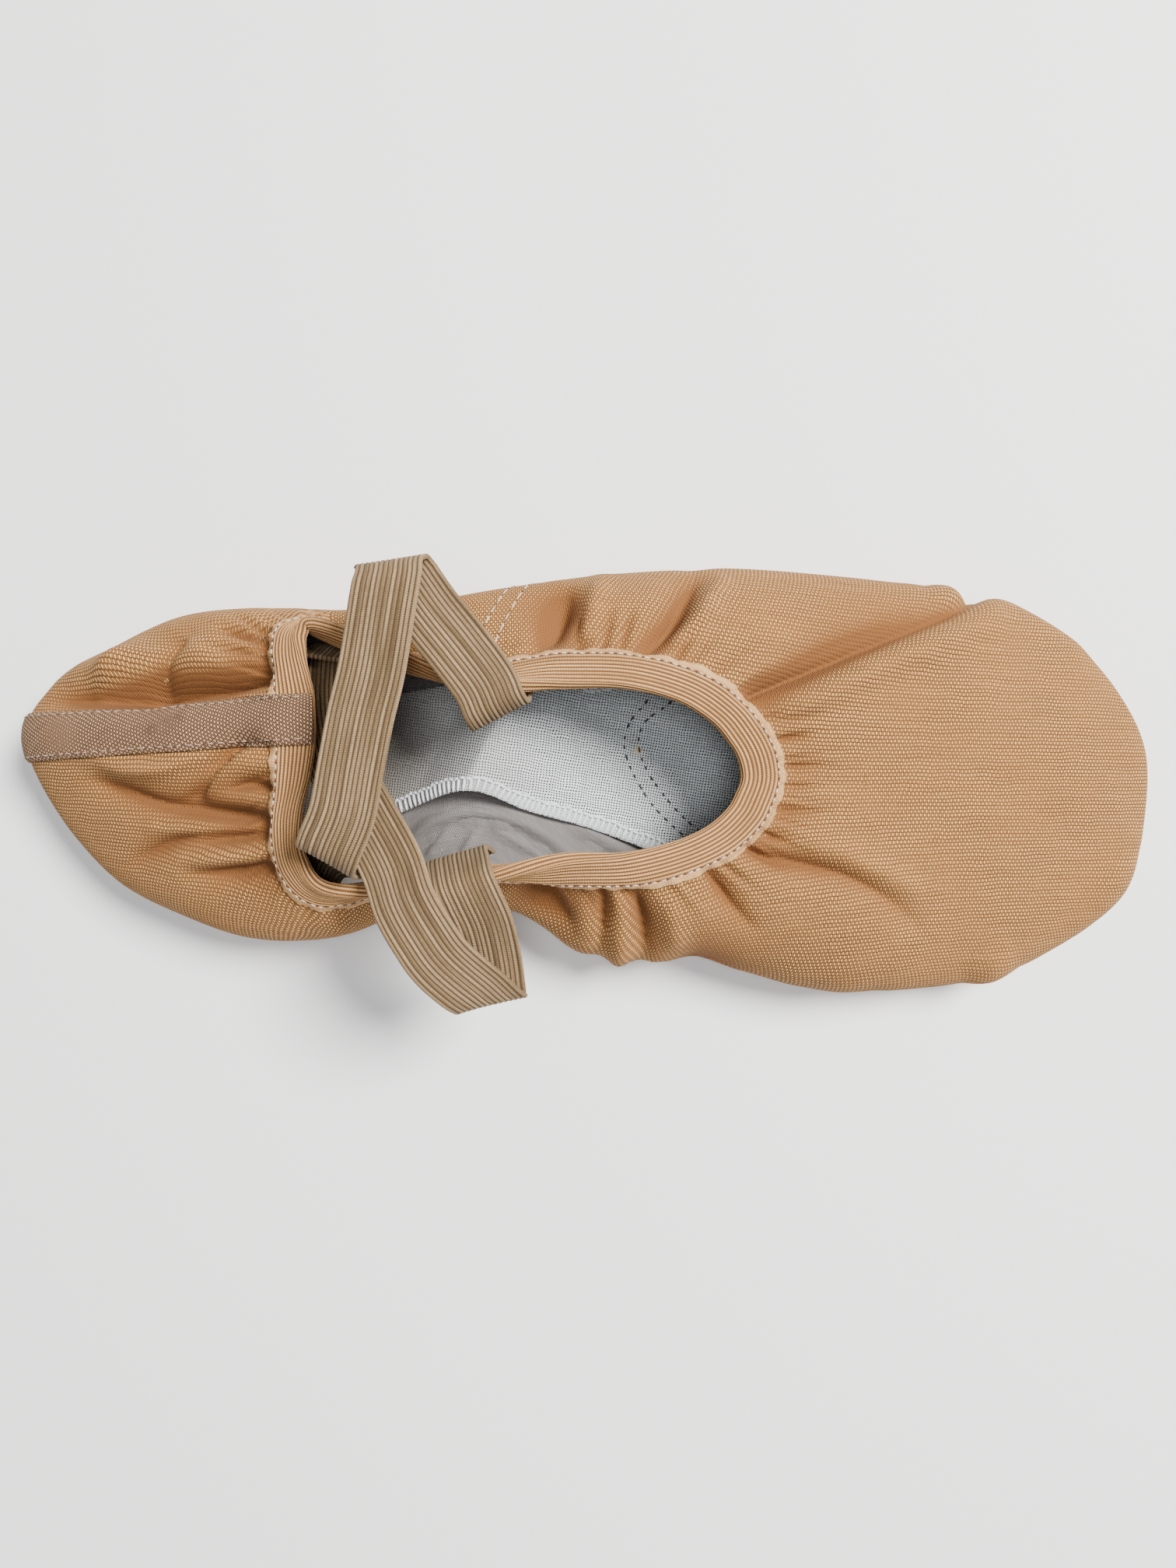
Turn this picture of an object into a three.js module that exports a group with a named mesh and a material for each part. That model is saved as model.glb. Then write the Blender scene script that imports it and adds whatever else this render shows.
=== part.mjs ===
// A canvas ballet slipper with a split sole, an elastic collar and two crossed elastic straps.
// Millimetres. X runs from heel to toe, Y to the slipper's left, Z up from the floor.
// The heel patch's centre is the origin. Tables hold lengths as shares of the sizes named below.
import * as THREE from "three";

// Whole slipper
const footLength = 250; // heel to toe tip
const ballWidth = 93; // across the forefoot
const collarHeight = 38; // top of the collar's sides above the floor
const sideHeight = 17; // height at which the sides bulge most, at the arch
const archLift = 8; // arch above the floor
const toeSpring = 2; // turn-up of the front patch's tip

// Cloth and tapes
const wall = 1.3; // canvas with its lining
const clearance = 0.3; // between pieces that lie on each other
const patchThickness = 1.2; // suede sole patches
const patchMargin = 8; // patch beyond the opening that it closes
const insoleThickness = 1.5;
const insolePlay = 0.2; // extra room under the loose insole
const insoleRidge = 5; // hump of the insole over the arch
const bindingWidth = 9; // each leg of the folded elastic
const bindingThickness = 0.8;
const bindingRoom = 0.45; // between the folded elastic and the cloth
const backStripWidth = 10.4;
const backStripThickness = 0.7;
const strapWidth = 13;
const strapThickness = 1.1;

// Openings in the underside, closed by the two patches
const heelOpening = { start: 22, end: 62, halfWidth: 12, taper: 0.05 };
const frontOpening = { start: 141, end: 227, halfWidth: 25, taper: 0.1 };
const heelCentre = (heelOpening.start + heelOpening.end) / 2;
const toeSpringStart = 205; // where the front patch leaves the floor

// Shares that shape the pieces
const turnDown = 0.95; // how far down the side the cloth aims before it turns under
const turnIn = 0.9; // how far out under the sole it still lies near the floor
const liftReach = 0.4; // part of the tucked run over which the cloth takes up the sole's lift
const flatReach = 0.7; // part of the tucked run after which the cloth faces the floor
const backStripEnd = 0.45; // part of the tucked run that the back strip covers
const backStripStep = 0.6; // height of the back strip at the foot of the binding
const ridgeCentre = 0.402; // insole hump, along the length
const ridgeHalf = 0.075;

// Mesh steps
const columnsPerStation = 3;
const sideRows = 6;
const tuckRows = 6;
const ribbonSteps = 3;
const insoleSteps = 3;
const patchSteps = 28;
const backStripSteps = 18;
const lengthSamples = 48;

const halfBall = ballWidth / 2;

// Largest outline seen from above. along: share of the length. left, right: shares of half the ball
// width. rise: height of the bulge as a share of sideHeight. crown: how high the side stays full
// above the bulge, as a share of collarHeight. middle and base: where the meridian ends underneath,
// as shares of half the ball width and of the length.
const OUTLINE = [
  { along: 0.0075, left: 0.172, right: 0.172, rise: 0.88, crown: 0.26, middle: 0.129, base: 0.088 },
  { along: 0.031, left: 0.452, right: -0.185, rise: 0.76, crown: 0.26, middle: 0.125, base: 0.098 },
  { along: 0.081, left: 0.602, right: -0.499, rise: 0.71, crown: 0.32, middle: 0.085, base: 0.124 },
  { along: 0.144, left: 0.757, right: -0.68, rise: 0.71, crown: 0.34, middle: 0.039, base: 0.164 },
  { along: 0.208, left: 0.785, right: -0.783, rise: 0.71, crown: 0.32, middle: 0.01, base: 0.212 },
  { along: 0.28, left: 0.772, right: -0.77, rise: 0.82, crown: 0.26, middle: 0.01, base: 0.272 },
  { along: 0.352, left: 0.796, right: -0.624, rise: 1, crown: 0.21, middle: 0.086, base: 0.344 },
  { along: 0.424, left: 0.871, right: -0.628, rise: 1, crown: 0.26, middle: 0.12, base: 0.416 },
  { along: 0.508, left: 0.938, right: -0.806, rise: 0.82, crown: 0.37, middle: 0.065, base: 0.496 },
  { along: 0.6, left: 0.972, right: -0.929, rise: 0.71, crown: 0.37, middle: 0.022, base: 0.584 },
  { along: 0.704, left: 0.953, right: -0.998, rise: 0.71, crown: 0.34, middle: -0.022, base: 0.68 },
  { along: 0.808, left: 0.877, right: -1.011, rise: 0.71, crown: 0.32, middle: -0.062, base: 0.768 },
  { along: 0.904, left: 0.714, right: -0.86, rise: 0.71, crown: 0.26, middle: -0.073, base: 0.844 },
  { along: 0.97, left: 0.376, right: -0.57, rise: 0.76, crown: 0.21, middle: -0.077, base: 0.892 },
  { along: 0.994, left: -0.019, right: -0.019, rise: 0.82, crown: 0.18, middle: -0.075, base: 0.908 },
];

// Collar edge, one row for each row above. across: share of half the ball width. height: share of
// collarHeight. reach and fall: the cloth's run outward and down from the edge, as shares of
// collarHeight. A negative reach is a collar that rolls outward and shows its inner face.
const COLLAR_LEFT = [
  { along: 0.276, across: 0.256, height: 0.947, reach: 0.6, fall: 0.03 },
  { along: 0.275, across: 0.34, height: 0.947, reach: 0.53, fall: 0.04 },
  { along: 0.272, across: 0.411, height: 0.947, reach: 0.42, fall: 0.08 },
  { along: 0.266, across: 0.523, height: 0.92, reach: 0.26, fall: 0.13 },
  { along: 0.264, across: 0.619, height: 0.895, reach: 0.1, fall: 0.21 },
  { along: 0.278, across: 0.671, height: 0.895, reach: -0.12, fall: 0.24 },
  { along: 0.344, across: 0.538, height: 0.947, reach: -0.22, fall: 0.21 },
  { along: 0.412, across: 0.402, height: 1, reach: -0.05, fall: 0.24 },
  { along: 0.474, across: 0.387, height: 1, reach: 0.21, fall: 0.13 },
  { along: 0.528, across: 0.381, height: 0.974, reach: 0.32, fall: 0.08 },
  { along: 0.572, across: 0.327, height: 0.921, reach: 0.5, fall: 0.05 },
  { along: 0.601, across: 0.237, height: 0.882, reach: 0.7, fall: 0.05 },
  { along: 0.617, across: 0.144, height: 0.855, reach: 0.9, fall: 0.06 },
  { along: 0.626, across: 0.065, height: 0.829, reach: 1.1, fall: 0.08 },
  { along: 0.629, across: -0.022, height: 0.816, reach: 1.18, fall: 0.09 },
];
const COLLAR_RIGHT = [
  { along: 0.276, across: 0.256, height: 0.947, reach: 0.6, fall: 0.03 },
  { along: 0.276, across: 0.131, height: 0.947, reach: 0.53, fall: 0.04 },
  { along: 0.272, across: -0.022, height: 0.947, reach: 0.47, fall: 0.05 },
  { along: 0.265, across: -0.189, height: 0.947, reach: 0.37, fall: 0.08 },
  { along: 0.266, across: -0.37, height: 0.934, reach: 0.26, fall: 0.16 },
  { along: 0.286, across: -0.512, height: 0.921, reach: 0.08, fall: 0.24 },
  { along: 0.348, across: -0.523, height: 0.947, reach: -0.16, fall: 0.21 },
  { along: 0.416, across: -0.467, height: 1, reach: -0.13, fall: 0.21 },
  { along: 0.478, across: -0.383, height: 1, reach: 0.14, fall: 0.18 },
  { along: 0.528, across: -0.363, height: 0.974, reach: 0.3, fall: 0.1 },
  { along: 0.569, across: -0.314, height: 0.921, reach: 0.48, fall: 0.06 },
  { along: 0.598, across: -0.247, height: 0.882, reach: 0.7, fall: 0.05 },
  { along: 0.616, across: -0.166, height: 0.855, reach: 0.9, fall: 0.06 },
  { along: 0.624, across: -0.097, height: 0.829, reach: 1.1, fall: 0.08 },
  { along: 0.629, across: -0.022, height: 0.816, reach: 1.18, fall: 0.09 },
];

// Insole outline: shares of the length and of half the ball width. It is narrow over the arch and
// lies to the left there.
const INSOLE = [
  { along: 0.048, left: 0.12, right: 0.12 },
  { along: 0.06, left: 0.29, right: -0.05 },
  { along: 0.1, left: 0.4, right: -0.23 },
  { along: 0.168, left: 0.46, right: -0.36 },
  { along: 0.24, left: 0.4, right: -0.36 },
  { along: 0.32, left: 0.39, right: -0.21 },
  { along: 0.392, left: 0.44, right: -0.08 },
  { along: 0.448, left: 0.48, right: -0.18 },
  { along: 0.504, left: 0.47, right: -0.27 },
  { along: 0.568, left: 0.54, right: -0.4 },
  { along: 0.648, left: 0.65, right: -0.57 },
  { along: 0.74, left: 0.63, right: -0.68 },
  { along: 0.83, left: 0.53, right: -0.65 },
  { along: 0.896, left: 0.35, right: -0.48 },
  { along: 0.932, left: 0.13, right: -0.24 },
  { along: 0.94, left: -0.06, right: -0.06 },
];

// Strap sections. A row with around and depth lies on the slipper's inner face: around is the place
// on the station loop, depth the distance below the edge as a share of bindingWidth, and inset the
// extra room to the face as a share of strapWidth. The other rows are shares of the length, half the
// ball width and collarHeight. heading is the line across the strap, in degrees from X.
const STRAP_OVER = [
  { around: 7.2, depth: 1.5, inset: 0.06, heading: 12 },
  { around: 7.2, depth: 0.75, inset: 0.06, heading: 14 },
  { along: 0.43, across: 0.3, height: 0.87, heading: 22 },
  { along: 0.43, across: 0.25, height: 0.99, heading: 28 },
  { along: 0.426, across: 0.285, height: 1.1, heading: 30 },
  { along: 0.418, across: 0.383, height: 1.15, heading: 36 },
  { along: 0.398, across: 0.527, height: 1.18, heading: 37 },
  { along: 0.376, across: 0.675, height: 1.19, heading: 34 },
  { along: 0.357, across: 0.82, height: 1.17, heading: 20 },
  { along: 0.348, across: 0.875, height: 1.22, heading: 9 },
  { along: 0.347, across: 0.815, height: 1.29, heading: 4 },
  { along: 0.344, across: 0.71, height: 1.31, heading: -8 },
  { along: 0.335, across: 0.43, height: 1.29, heading: -12 },
  { along: 0.326, across: 0.232, height: 1.28, heading: -12 },
  { along: 0.318, across: 0.026, height: 1.26, heading: -11 },
  { along: 0.311, across: -0.168, height: 1.25, heading: -14 },
  { along: 0.3, across: -0.308, height: 1.22, heading: -22 },
  { along: 0.295, across: -0.363, height: 1.16, heading: -27 },
  { along: 0.294, across: -0.368, height: 1.06, heading: -35 },
  { along: 0.298, across: -0.363, height: 0.895, heading: -44 },
  { around: 23.35, depth: 0.75, inset: 0.7, heading: -46 },
  { around: 23.35, depth: 1.3, inset: 0.7, heading: -50 },
];
const STRAP_UNDER = [
  { around: 21.3, depth: 1.05, inset: 0.14, heading: 16 },
  { around: 21.3, depth: 0.55, inset: 0.06, heading: 16 },
  { along: 0.397, across: -0.41, height: 1.04, heading: 17 },
  { along: 0.401, across: -0.47, height: 1.11, heading: 18 },
  { along: 0.407, across: -0.545, height: 1.1, heading: 18 },
  { along: 0.415, across: -0.655, height: 1.04, heading: 15 },
  { along: 0.42, across: -0.79, height: 0.965, heading: 9 },
  { along: 0.423, across: -0.91, height: 0.945, heading: 4 },
  { along: 0.424, across: -0.985, height: 1.02, heading: 12 },
  { along: 0.412, across: -0.93, height: 1.11, heading: 33 },
  { along: 0.387, across: -0.804, height: 1.17, heading: 38 },
  { along: 0.372, across: -0.688, height: 1.195, heading: 37 },
  { along: 0.357, across: -0.552, height: 1.17, heading: 36 },
  { along: 0.344, across: -0.39, height: 1.075, heading: 33 },
  { along: 0.322, across: -0.2, height: 0.97, heading: 32 },
  { along: 0.303, across: -0.045, height: 0.87, heading: 29 },
  { along: 0.289, across: 0.095, height: 0.79, heading: 24 },
  { along: 0.281, across: 0.235, height: 0.71, heading: 14 },
  { along: 0.277, across: 0.37, height: 0.645, heading: 5 },
  { around: 4.95, depth: 1.35, inset: 0.25, heading: -4 },
  { around: 4.95, depth: 0.75, inset: 0.25, heading: -8 },
];

const lastStation = OUTLINE.length - 1;
const loopStations = 2 * lastStation;

// Values at stations, once round the slipper: up the left side from the heel, back down the right
function roundLoop(leftRows, leftName, rightRows, rightName, scale) {
  const values = leftRows.map((row) => row[leftName] * scale);
  for (let station = leftRows.length - 2; station > 0; station -= 1) {
    values.push(rightRows[station][rightName] * scale);
  }
  return values;
}

function smoothThrough(before, from, to, after, share) {
  const slope = to - before;
  const bend = 2 * before - 5 * from + 4 * to - after;
  const twist = 3 * from - before - 3 * to + after;
  return 0.5 * (2 * from + slope * share + bend * share ** 2 + twist * share ** 3);
}

function loopValue(values, position) {
  const count = values.length;
  const first = Math.floor(position);
  const pick = (step) => values[(first + step + 2 * count) % count];
  return smoothThrough(pick(-1), pick(0), pick(1), pick(2), position - first);
}

function openValue(values, position) {
  const last = values.length - 1;
  const first = Math.min(Math.floor(position), last - 1);
  const pick = (step) => values[THREE.MathUtils.clamp(first + step, 0, last)];
  return smoothThrough(pick(-1), pick(0), pick(1), pick(2), position - first);
}

const outlineLoop = {
  x: roundLoop(OUTLINE, "along", OUTLINE, "along", footLength),
  y: roundLoop(OUTLINE, "left", OUTLINE, "right", halfBall),
  z: roundLoop(OUTLINE, "rise", OUTLINE, "rise", sideHeight),
  crown: roundLoop(OUTLINE, "crown", OUTLINE, "crown", collarHeight),
  middle: roundLoop(OUTLINE, "middle", OUTLINE, "middle", halfBall),
  base: roundLoop(OUTLINE, "base", OUTLINE, "base", footLength),
};
const collarLoop = {
  x: roundLoop(COLLAR_LEFT, "along", COLLAR_RIGHT, "along", footLength),
  y: roundLoop(COLLAR_LEFT, "across", COLLAR_RIGHT, "across", halfBall),
  z: roundLoop(COLLAR_LEFT, "height", COLLAR_RIGHT, "height", collarHeight),
  reach: roundLoop(COLLAR_LEFT, "reach", COLLAR_RIGHT, "reach", collarHeight),
  fall: roundLoop(COLLAR_LEFT, "fall", COLLAR_RIGHT, "fall", collarHeight),
};

// Height of the floor side of the sole: flat under heel and ball, raised at the arch and toe tip
function groundAt(x) {
  const archStart = heelOpening.end + patchMargin;
  const archEnd = frontOpening.start - patchMargin;
  const archShare = THREE.MathUtils.clamp((x - archStart) / (archEnd - archStart), 0, 1);
  const toeEnd = frontOpening.end + patchMargin;
  const toeShare = THREE.MathUtils.clamp((x - toeSpringStart) / (toeEnd - toeSpringStart), 0, 1);
  return archLift * Math.sin(Math.PI * archShare) ** 2 + toeSpring * toeShare ** 2;
}

function openingHalf(opening, x, margin) {
  const halfLength = (opening.end - opening.start) / 2 + margin;
  const share = (x - (opening.start + opening.end) / 2) / halfLength;
  if (Math.abs(share) >= 1) {
    return 0;
  }
  return (opening.halfWidth + margin) * Math.sqrt(1 - share ** 2) * (1 + opening.taper * share);
}

// One run of cloth from the collar edge over the side, then tucked under to the sole opening
const meridians = new Map();
function meridianAt(rawPosition) {
  const position = (rawPosition + loopStations) % loopStations;
  const key = position.toFixed(6);
  if (meridians.has(key)) {
    return meridians.get(key);
  }
  const read = (loop, name) => loopValue(loop[name], position);
  const edge = new THREE.Vector3(read(collarLoop, "x"), read(collarLoop, "y"), read(collarLoop, "z"));
  const side = new THREE.Vector3(read(outlineLoop, "x"), read(outlineLoop, "y"), read(outlineLoop, "z"));
  const outward = new THREE.Vector3(side.x - edge.x, side.y - edge.y, 0).normalize();
  const leave = edge.clone().addScaledVector(outward, read(collarLoop, "reach"));
  leave.z -= read(collarLoop, "fall");
  const arrive = side.clone();
  arrive.z += read(outlineLoop, "crown");
  const baseX = read(outlineLoop, "base");
  const half = openingHalf(heelOpening, baseX, 0) + openingHalf(frontOpening, baseX, 0);
  const sign = position <= lastStation ? 1 : -1;
  const baseZ = patchThickness + clearance;
  const base = new THREE.Vector3(baseX, read(outlineLoop, "middle") + sign * half, baseZ);
  const below = side.clone();
  below.z -= turnDown * (side.z - baseZ);
  const inward = base.clone().lerp(new THREE.Vector3(side.x, side.y, baseZ), turnIn);
  const meridian = {
    over: new THREE.CubicBezierCurve3(edge, leave, arrive, side),
    under: new THREE.CubicBezierCurve3(side, below, inward, base),
    pinched: half === 0 && position > 0 && position !== lastStation,
  };
  meridians.set(key, meridian);
  return meridian;
}

// reach 0 is the collar edge, 1 the outline, 2 the edge of the sole opening
function clothPoint(position, reach) {
  const meridian = meridianAt(position);
  if (reach <= 1) {
    return meridian.over.getPoint(reach);
  }
  const point = meridian.under.getPoint(reach - 1);
  point.z += groundAt(point.x) * THREE.MathUtils.smoothstep(reach, 1, 1 + liftReach);
  return point;
}

function clothNormal(position, reach) {
  const aside = 0.03;
  const step = 0.01;
  const low = Math.max(reach - step, 0);
  const high = Math.min(reach + step, 2);
  const along = clothPoint(position + aside, reach).sub(clothPoint(position - aside, reach));
  const down = clothPoint(position, high).sub(clothPoint(position, low));
  const normal = along.cross(down).normalize();
  const flatFrom = 1 + flatReach;
  if (reach > flatFrom) {
    const floorward = new THREE.Vector3(0, 0, -1);
    normal.lerp(floorward, (reach - flatFrom) / (2 - flatFrom)).normalize();
  }
  return normal;
}

// The reach at a distance down the cloth from the collar edge
function reachAtDistance(position, distance) {
  let travelled = 0;
  let last = clothPoint(position, 0);
  for (let sample = 1; sample <= lengthSamples; sample += 1) {
    const next = clothPoint(position, sample / lengthSamples);
    const piece = next.distanceTo(last);
    if (travelled + piece >= distance) {
      return (sample - 1 + (distance - travelled) / piece) / lengthSamples;
    }
    travelled += piece;
    last = next;
  }
  return 1;
}

// A point at a distance below the collar edge, or beyond it if negative, and off the outer face
function collarPoint(position, distance, offset) {
  const reach = reachAtDistance(position, Math.max(distance, 0));
  const point = clothPoint(position, reach);
  if (distance < 0) {
    const upward = clothPoint(position, 0).sub(clothPoint(position, 0.01)).normalize();
    point.addScaledVector(upward, -distance);
  }
  return point.addScaledVector(clothNormal(position, reach), offset);
}

// A closed mesh whose corners are shared, turned so that its faces point out
class Solid {
  constructor() {
    this.corners = [];
    this.triangles = [];
    this.known = new Map();
  }

  corner(point) {
    const key = [point.x, point.y, point.z].map((value) => value.toFixed(3)).join(" ");
    if (!this.known.has(key)) {
      this.known.set(key, this.corners.length);
      this.corners.push(point);
    }
    return this.known.get(key);
  }

  triangle(a, b, c) {
    const ids = [this.corner(a), this.corner(b), this.corner(c)];
    if (new Set(ids).size === 3) {
      this.triangles.push(ids);
    }
  }

  quad(a, b, c, d) {
    this.triangle(a, b, c);
    this.triangle(a, c, d);
  }

  geometry() {
    let volume = 0;
    for (const [a, b, c] of this.triangles) {
      volume += this.corners[a].dot(this.corners[b].clone().cross(this.corners[c]));
    }
    const turned = volume < 0 ? this.triangles.map(([a, b, c]) => [a, c, b]) : this.triangles;
    const geometry = new THREE.BufferGeometry();
    const positions = this.corners.flatMap((corner) => [corner.x, corner.y, corner.z]);
    geometry.setAttribute("position", new THREE.Float32BufferAttribute(positions, 3));
    geometry.setIndex(turned.flat());
    geometry.computeVertexNormals();
    return geometry;
  }
}

// A band between two faces, each a list of rows across it
function bandSolid(top, bottom) {
  const solid = new Solid();
  const last = top.length - 1;
  const far = top[0].length - 1;
  for (let row = 0; row < last; row += 1) {
    for (let place = 0; place < far; place += 1) {
      solid.quad(top[row][place], top[row + 1][place], top[row + 1][place + 1], top[row][place + 1]);
      solid.quad(
        bottom[row][place], bottom[row][place + 1], bottom[row + 1][place + 1], bottom[row + 1][place],
      );
    }
    solid.quad(top[row][0], bottom[row][0], bottom[row + 1][0], top[row + 1][0]);
    solid.quad(top[row][far], top[row + 1][far], bottom[row + 1][far], bottom[row][far]);
  }
  for (let place = 0; place < far; place += 1) {
    solid.quad(top[0][place], top[0][place + 1], bottom[0][place + 1], bottom[0][place]);
    solid.quad(top[last][place], bottom[last][place], bottom[last][place + 1], top[last][place + 1]);
  }
  return solid.geometry();
}

const columnCount = loopStations * columnsPerStation;
const columnPositions = Array.from({ length: columnCount }, (_, column) => column / columnsPerStation);

function clothRows(position) {
  const rows = [0, 0.5, 1].map((share) => reachAtDistance(position, share * bindingWidth));
  const belowBinding = rows[rows.length - 1];
  for (let row = 1; row <= sideRows; row += 1) {
    rows.push(THREE.MathUtils.lerp(belowBinding, 1, row / sideRows));
  }
  for (let row = 1; row <= tuckRows; row += 1) {
    rows.push(1 + row / tuckRows);
  }
  return rows;
}

function makeUpper() {
  const outer = [];
  const inner = [];
  for (const position of columnPositions) {
    const rows = clothRows(position);
    outer.push(rows.map((reach) => clothPoint(position, reach)));
    inner.push(
      rows.map((reach) => clothPoint(position, reach).addScaledVector(clothNormal(position, reach), -wall)),
    );
  }
  const solid = new Solid();
  const lastRow = outer[0].length - 1;
  for (let column = 0; column < columnCount; column += 1) {
    const next = (column + 1) % columnCount;
    for (let row = 0; row < lastRow; row += 1) {
      solid.quad(outer[column][row], outer[next][row], outer[next][row + 1], outer[column][row + 1]);
      solid.quad(inner[column][row + 1], inner[next][row + 1], inner[next][row], inner[column][row]);
    }
    solid.quad(inner[column][0], inner[next][0], outer[next][0], outer[column][0]);
    const closed = meridianAt(columnPositions[column]).pinched && meridianAt(columnPositions[next]).pinched;
    if (!closed) {
      solid.quad(
        outer[column][lastRow], outer[next][lastRow], inner[next][lastRow], inner[column][lastRow],
      );
    }
  }
  return solid.geometry();
}

// Elastic folded over the collar edge: distance below the edge and offset from the outer face
function makeCollarBinding() {
  const near = bindingRoom;
  const far = bindingRoom + bindingThickness;
  const innerNear = -wall - near;
  const innerFar = -wall - far;
  const section = [
    [bindingWidth, near], [bindingWidth, far], [bindingWidth / 2, far], [0, far],
    [-far, near], [-far, innerNear],
    [0, innerFar], [bindingWidth / 2, innerFar], [bindingWidth, innerFar], [bindingWidth, innerNear],
    [bindingWidth / 2, innerNear], [0, innerNear], [-near, innerNear],
    [-near, near], [0, near], [bindingWidth / 2, near],
  ];
  const rings = columnPositions.map((position) =>
    section.map(([distance, offset]) => collarPoint(position, distance, offset)),
  );
  const solid = new Solid();
  rings.forEach((ring, column) => {
    const next = rings[(column + 1) % columnCount];
    ring.forEach((corner, place) => {
      const after = (place + 1) % ring.length;
      solid.quad(corner, next[place], next[after], ring[after]);
    });
  });
  return solid.geometry();
}

// Tape over the heel seam, up the back and over the binding to the collar edge
function makeBackStrip() {
  const onCloth = clearance;
  const onBinding = bindingRoom + bindingThickness + 2 * clearance;
  const edgeReach = reachAtDistance(0, bindingWidth + bindingThickness + clearance);
  const clothEnd = 1 + backStripEnd;
  const places = [
    { distance: -onBinding, offset: onBinding },
    { distance: 0, offset: onBinding },
    { distance: bindingWidth / 2, offset: onBinding },
    { distance: bindingWidth, offset: onBinding },
  ].map(({ distance, offset }) => ({ distance, offset, reach: reachAtDistance(0, Math.max(distance, 0)) }));
  for (let step = 0; step <= backStripSteps; step += 1) {
    const reach = THREE.MathUtils.lerp(edgeReach, clothEnd, step / backStripSteps);
    places.push({ distance: 0, offset: step === 0 ? onBinding * backStripStep : onCloth, reach });
  }
  const across = [-1, -0.5, 0, 0.5, 1];
  const face = (extra) =>
    places.map(({ distance, offset, reach }) => {
      const spread = clothPoint(0.5, reach).distanceTo(clothPoint(-0.5, reach));
      return across.map((share) => {
        const position = (share * backStripWidth) / 2 / spread;
        const point = clothPoint(position, reach);
        if (distance < 0) {
          const upward = clothPoint(position, 0).sub(clothPoint(position, 0.01)).normalize();
          point.addScaledVector(upward, -distance);
        }
        return point.addScaledVector(clothNormal(position, reach), offset + extra);
      });
    });
  return bandSolid(face(backStripThickness), face(0));
}

function makePatch(opening) {
  const start = opening.start - patchMargin;
  const end = opening.end + patchMargin;
  const stationAtX = (x) => {
    let low = 0;
    let high = lastStation;
    for (let turn = 0; turn < 30; turn += 1) {
      const middle = (low + high) / 2;
      if (loopValue(outlineLoop.base, middle) < x) {
        low = middle;
      } else {
        high = middle;
      }
    }
    return low;
  };
  const face = (height) =>
    Array.from({ length: patchSteps + 1 }, (_, step) => {
      const x = THREE.MathUtils.lerp(start, end, (1 - Math.cos((Math.PI * step) / patchSteps)) / 2);
      const half = step === 0 || step === patchSteps ? 0 : openingHalf(opening, x, patchMargin);
      const middle = loopValue(outlineLoop.middle, stationAtX(x));
      return [-1, 0, 1].map((share) => new THREE.Vector3(x, middle + share * half, groundAt(x) + height));
    });
  return bandSolid(face(patchThickness), face(0));
}

function makeInsole() {
  const x = INSOLE.map((row) => row.along * footLength);
  const left = INSOLE.map((row) => row.left * halfBall);
  const right = INSOLE.map((row) => row.right * halfBall);
  const level = patchThickness + 2 * clearance + wall + insolePlay;
  const count = (INSOLE.length - 1) * insoleSteps;
  const face = (height) =>
    Array.from({ length: count + 1 }, (_, step) => {
      const position = step / insoleSteps;
      const here = openValue(x, position);
      const fromRidge = Math.abs(here / footLength - ridgeCentre);
      const ridgeShare = THREE.MathUtils.clamp(fromRidge / ridgeHalf, 0, 1);
      const ridge = insoleRidge * Math.cos((Math.PI / 2) * ridgeShare) ** 2;
      const from = openValue(right, position);
      const to = openValue(left, position);
      const up = level + groundAt(here) + ridge + height;
      return [0, 0.25, 0.5, 0.75, 1].map(
        (share) => new THREE.Vector3(here, THREE.MathUtils.lerp(from, to, share), up),
      );
    });
  return bandSolid(face(insoleThickness), face(0));
}

// Flat elastic through its sections, kept at its full width square to its run
function makeStrap(rows) {
  const onInside = -(wall + bindingRoom + bindingThickness + clearance + strapThickness / 2);
  const centres = rows.map((row) => {
    if (row.around !== undefined) {
      return collarPoint(row.around, row.depth * bindingWidth, onInside - row.inset * strapWidth);
    }
    return new THREE.Vector3(row.along * footLength, row.across * halfBall, row.height * collarHeight);
  });
  const centreAt = (position) => {
    const read = (name) => openValue(centres.map((centre) => centre[name]), position);
    return new THREE.Vector3(read("x"), read("y"), read("z"));
  };
  const headings = rows.map((row) => THREE.MathUtils.degToRad(row.heading));
  const count = (rows.length - 1) * ribbonSteps;
  const top = [];
  const bottom = [];
  for (let step = 0; step <= count; step += 1) {
    const position = step / ribbonSteps;
    const before = centreAt(Math.max(position - 0.05, 0));
    const run = centreAt(Math.min(position + 0.05, rows.length - 1)).sub(before).normalize();
    const heading = openValue(headings, position);
    const across = new THREE.Vector3(Math.cos(heading), Math.sin(heading), 0);
    const face = new THREE.Vector3().crossVectors(across, run);
    const half = across.multiplyScalar(strapWidth / 2 / face.length());
    face.normalize().multiplyScalar(strapThickness / 2);
    const centre = centreAt(position);
    top.push([-1, 1].map((side) => centre.clone().addScaledVector(half, side).add(face)));
    bottom.push([-1, 1].map((side) => centre.clone().addScaledVector(half, side).sub(face)));
  }
  return bandSolid(top, bottom);
}

const canvas = { color: 0xd8a273, roughness: 0.9, metalness: 0 };
const elastic = { color: 0xd9a982, roughness: 0.8, metalness: 0 };
const strapElastic = { color: 0xdcbf98, roughness: 0.8, metalness: 0 };
const seamTape = { color: 0xdba98a, roughness: 0.9, metalness: 0 };
const cotton = { color: 0xe9ebee, roughness: 0.95, metalness: 0 };
const suede = { color: 0xc99f78, roughness: 1, metalness: 0 };

function part(name, geometry, look) {
  const mesh = new THREE.Mesh(geometry, new THREE.MeshStandardMaterial(look));
  mesh.name = name;
  return mesh;
}

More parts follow.
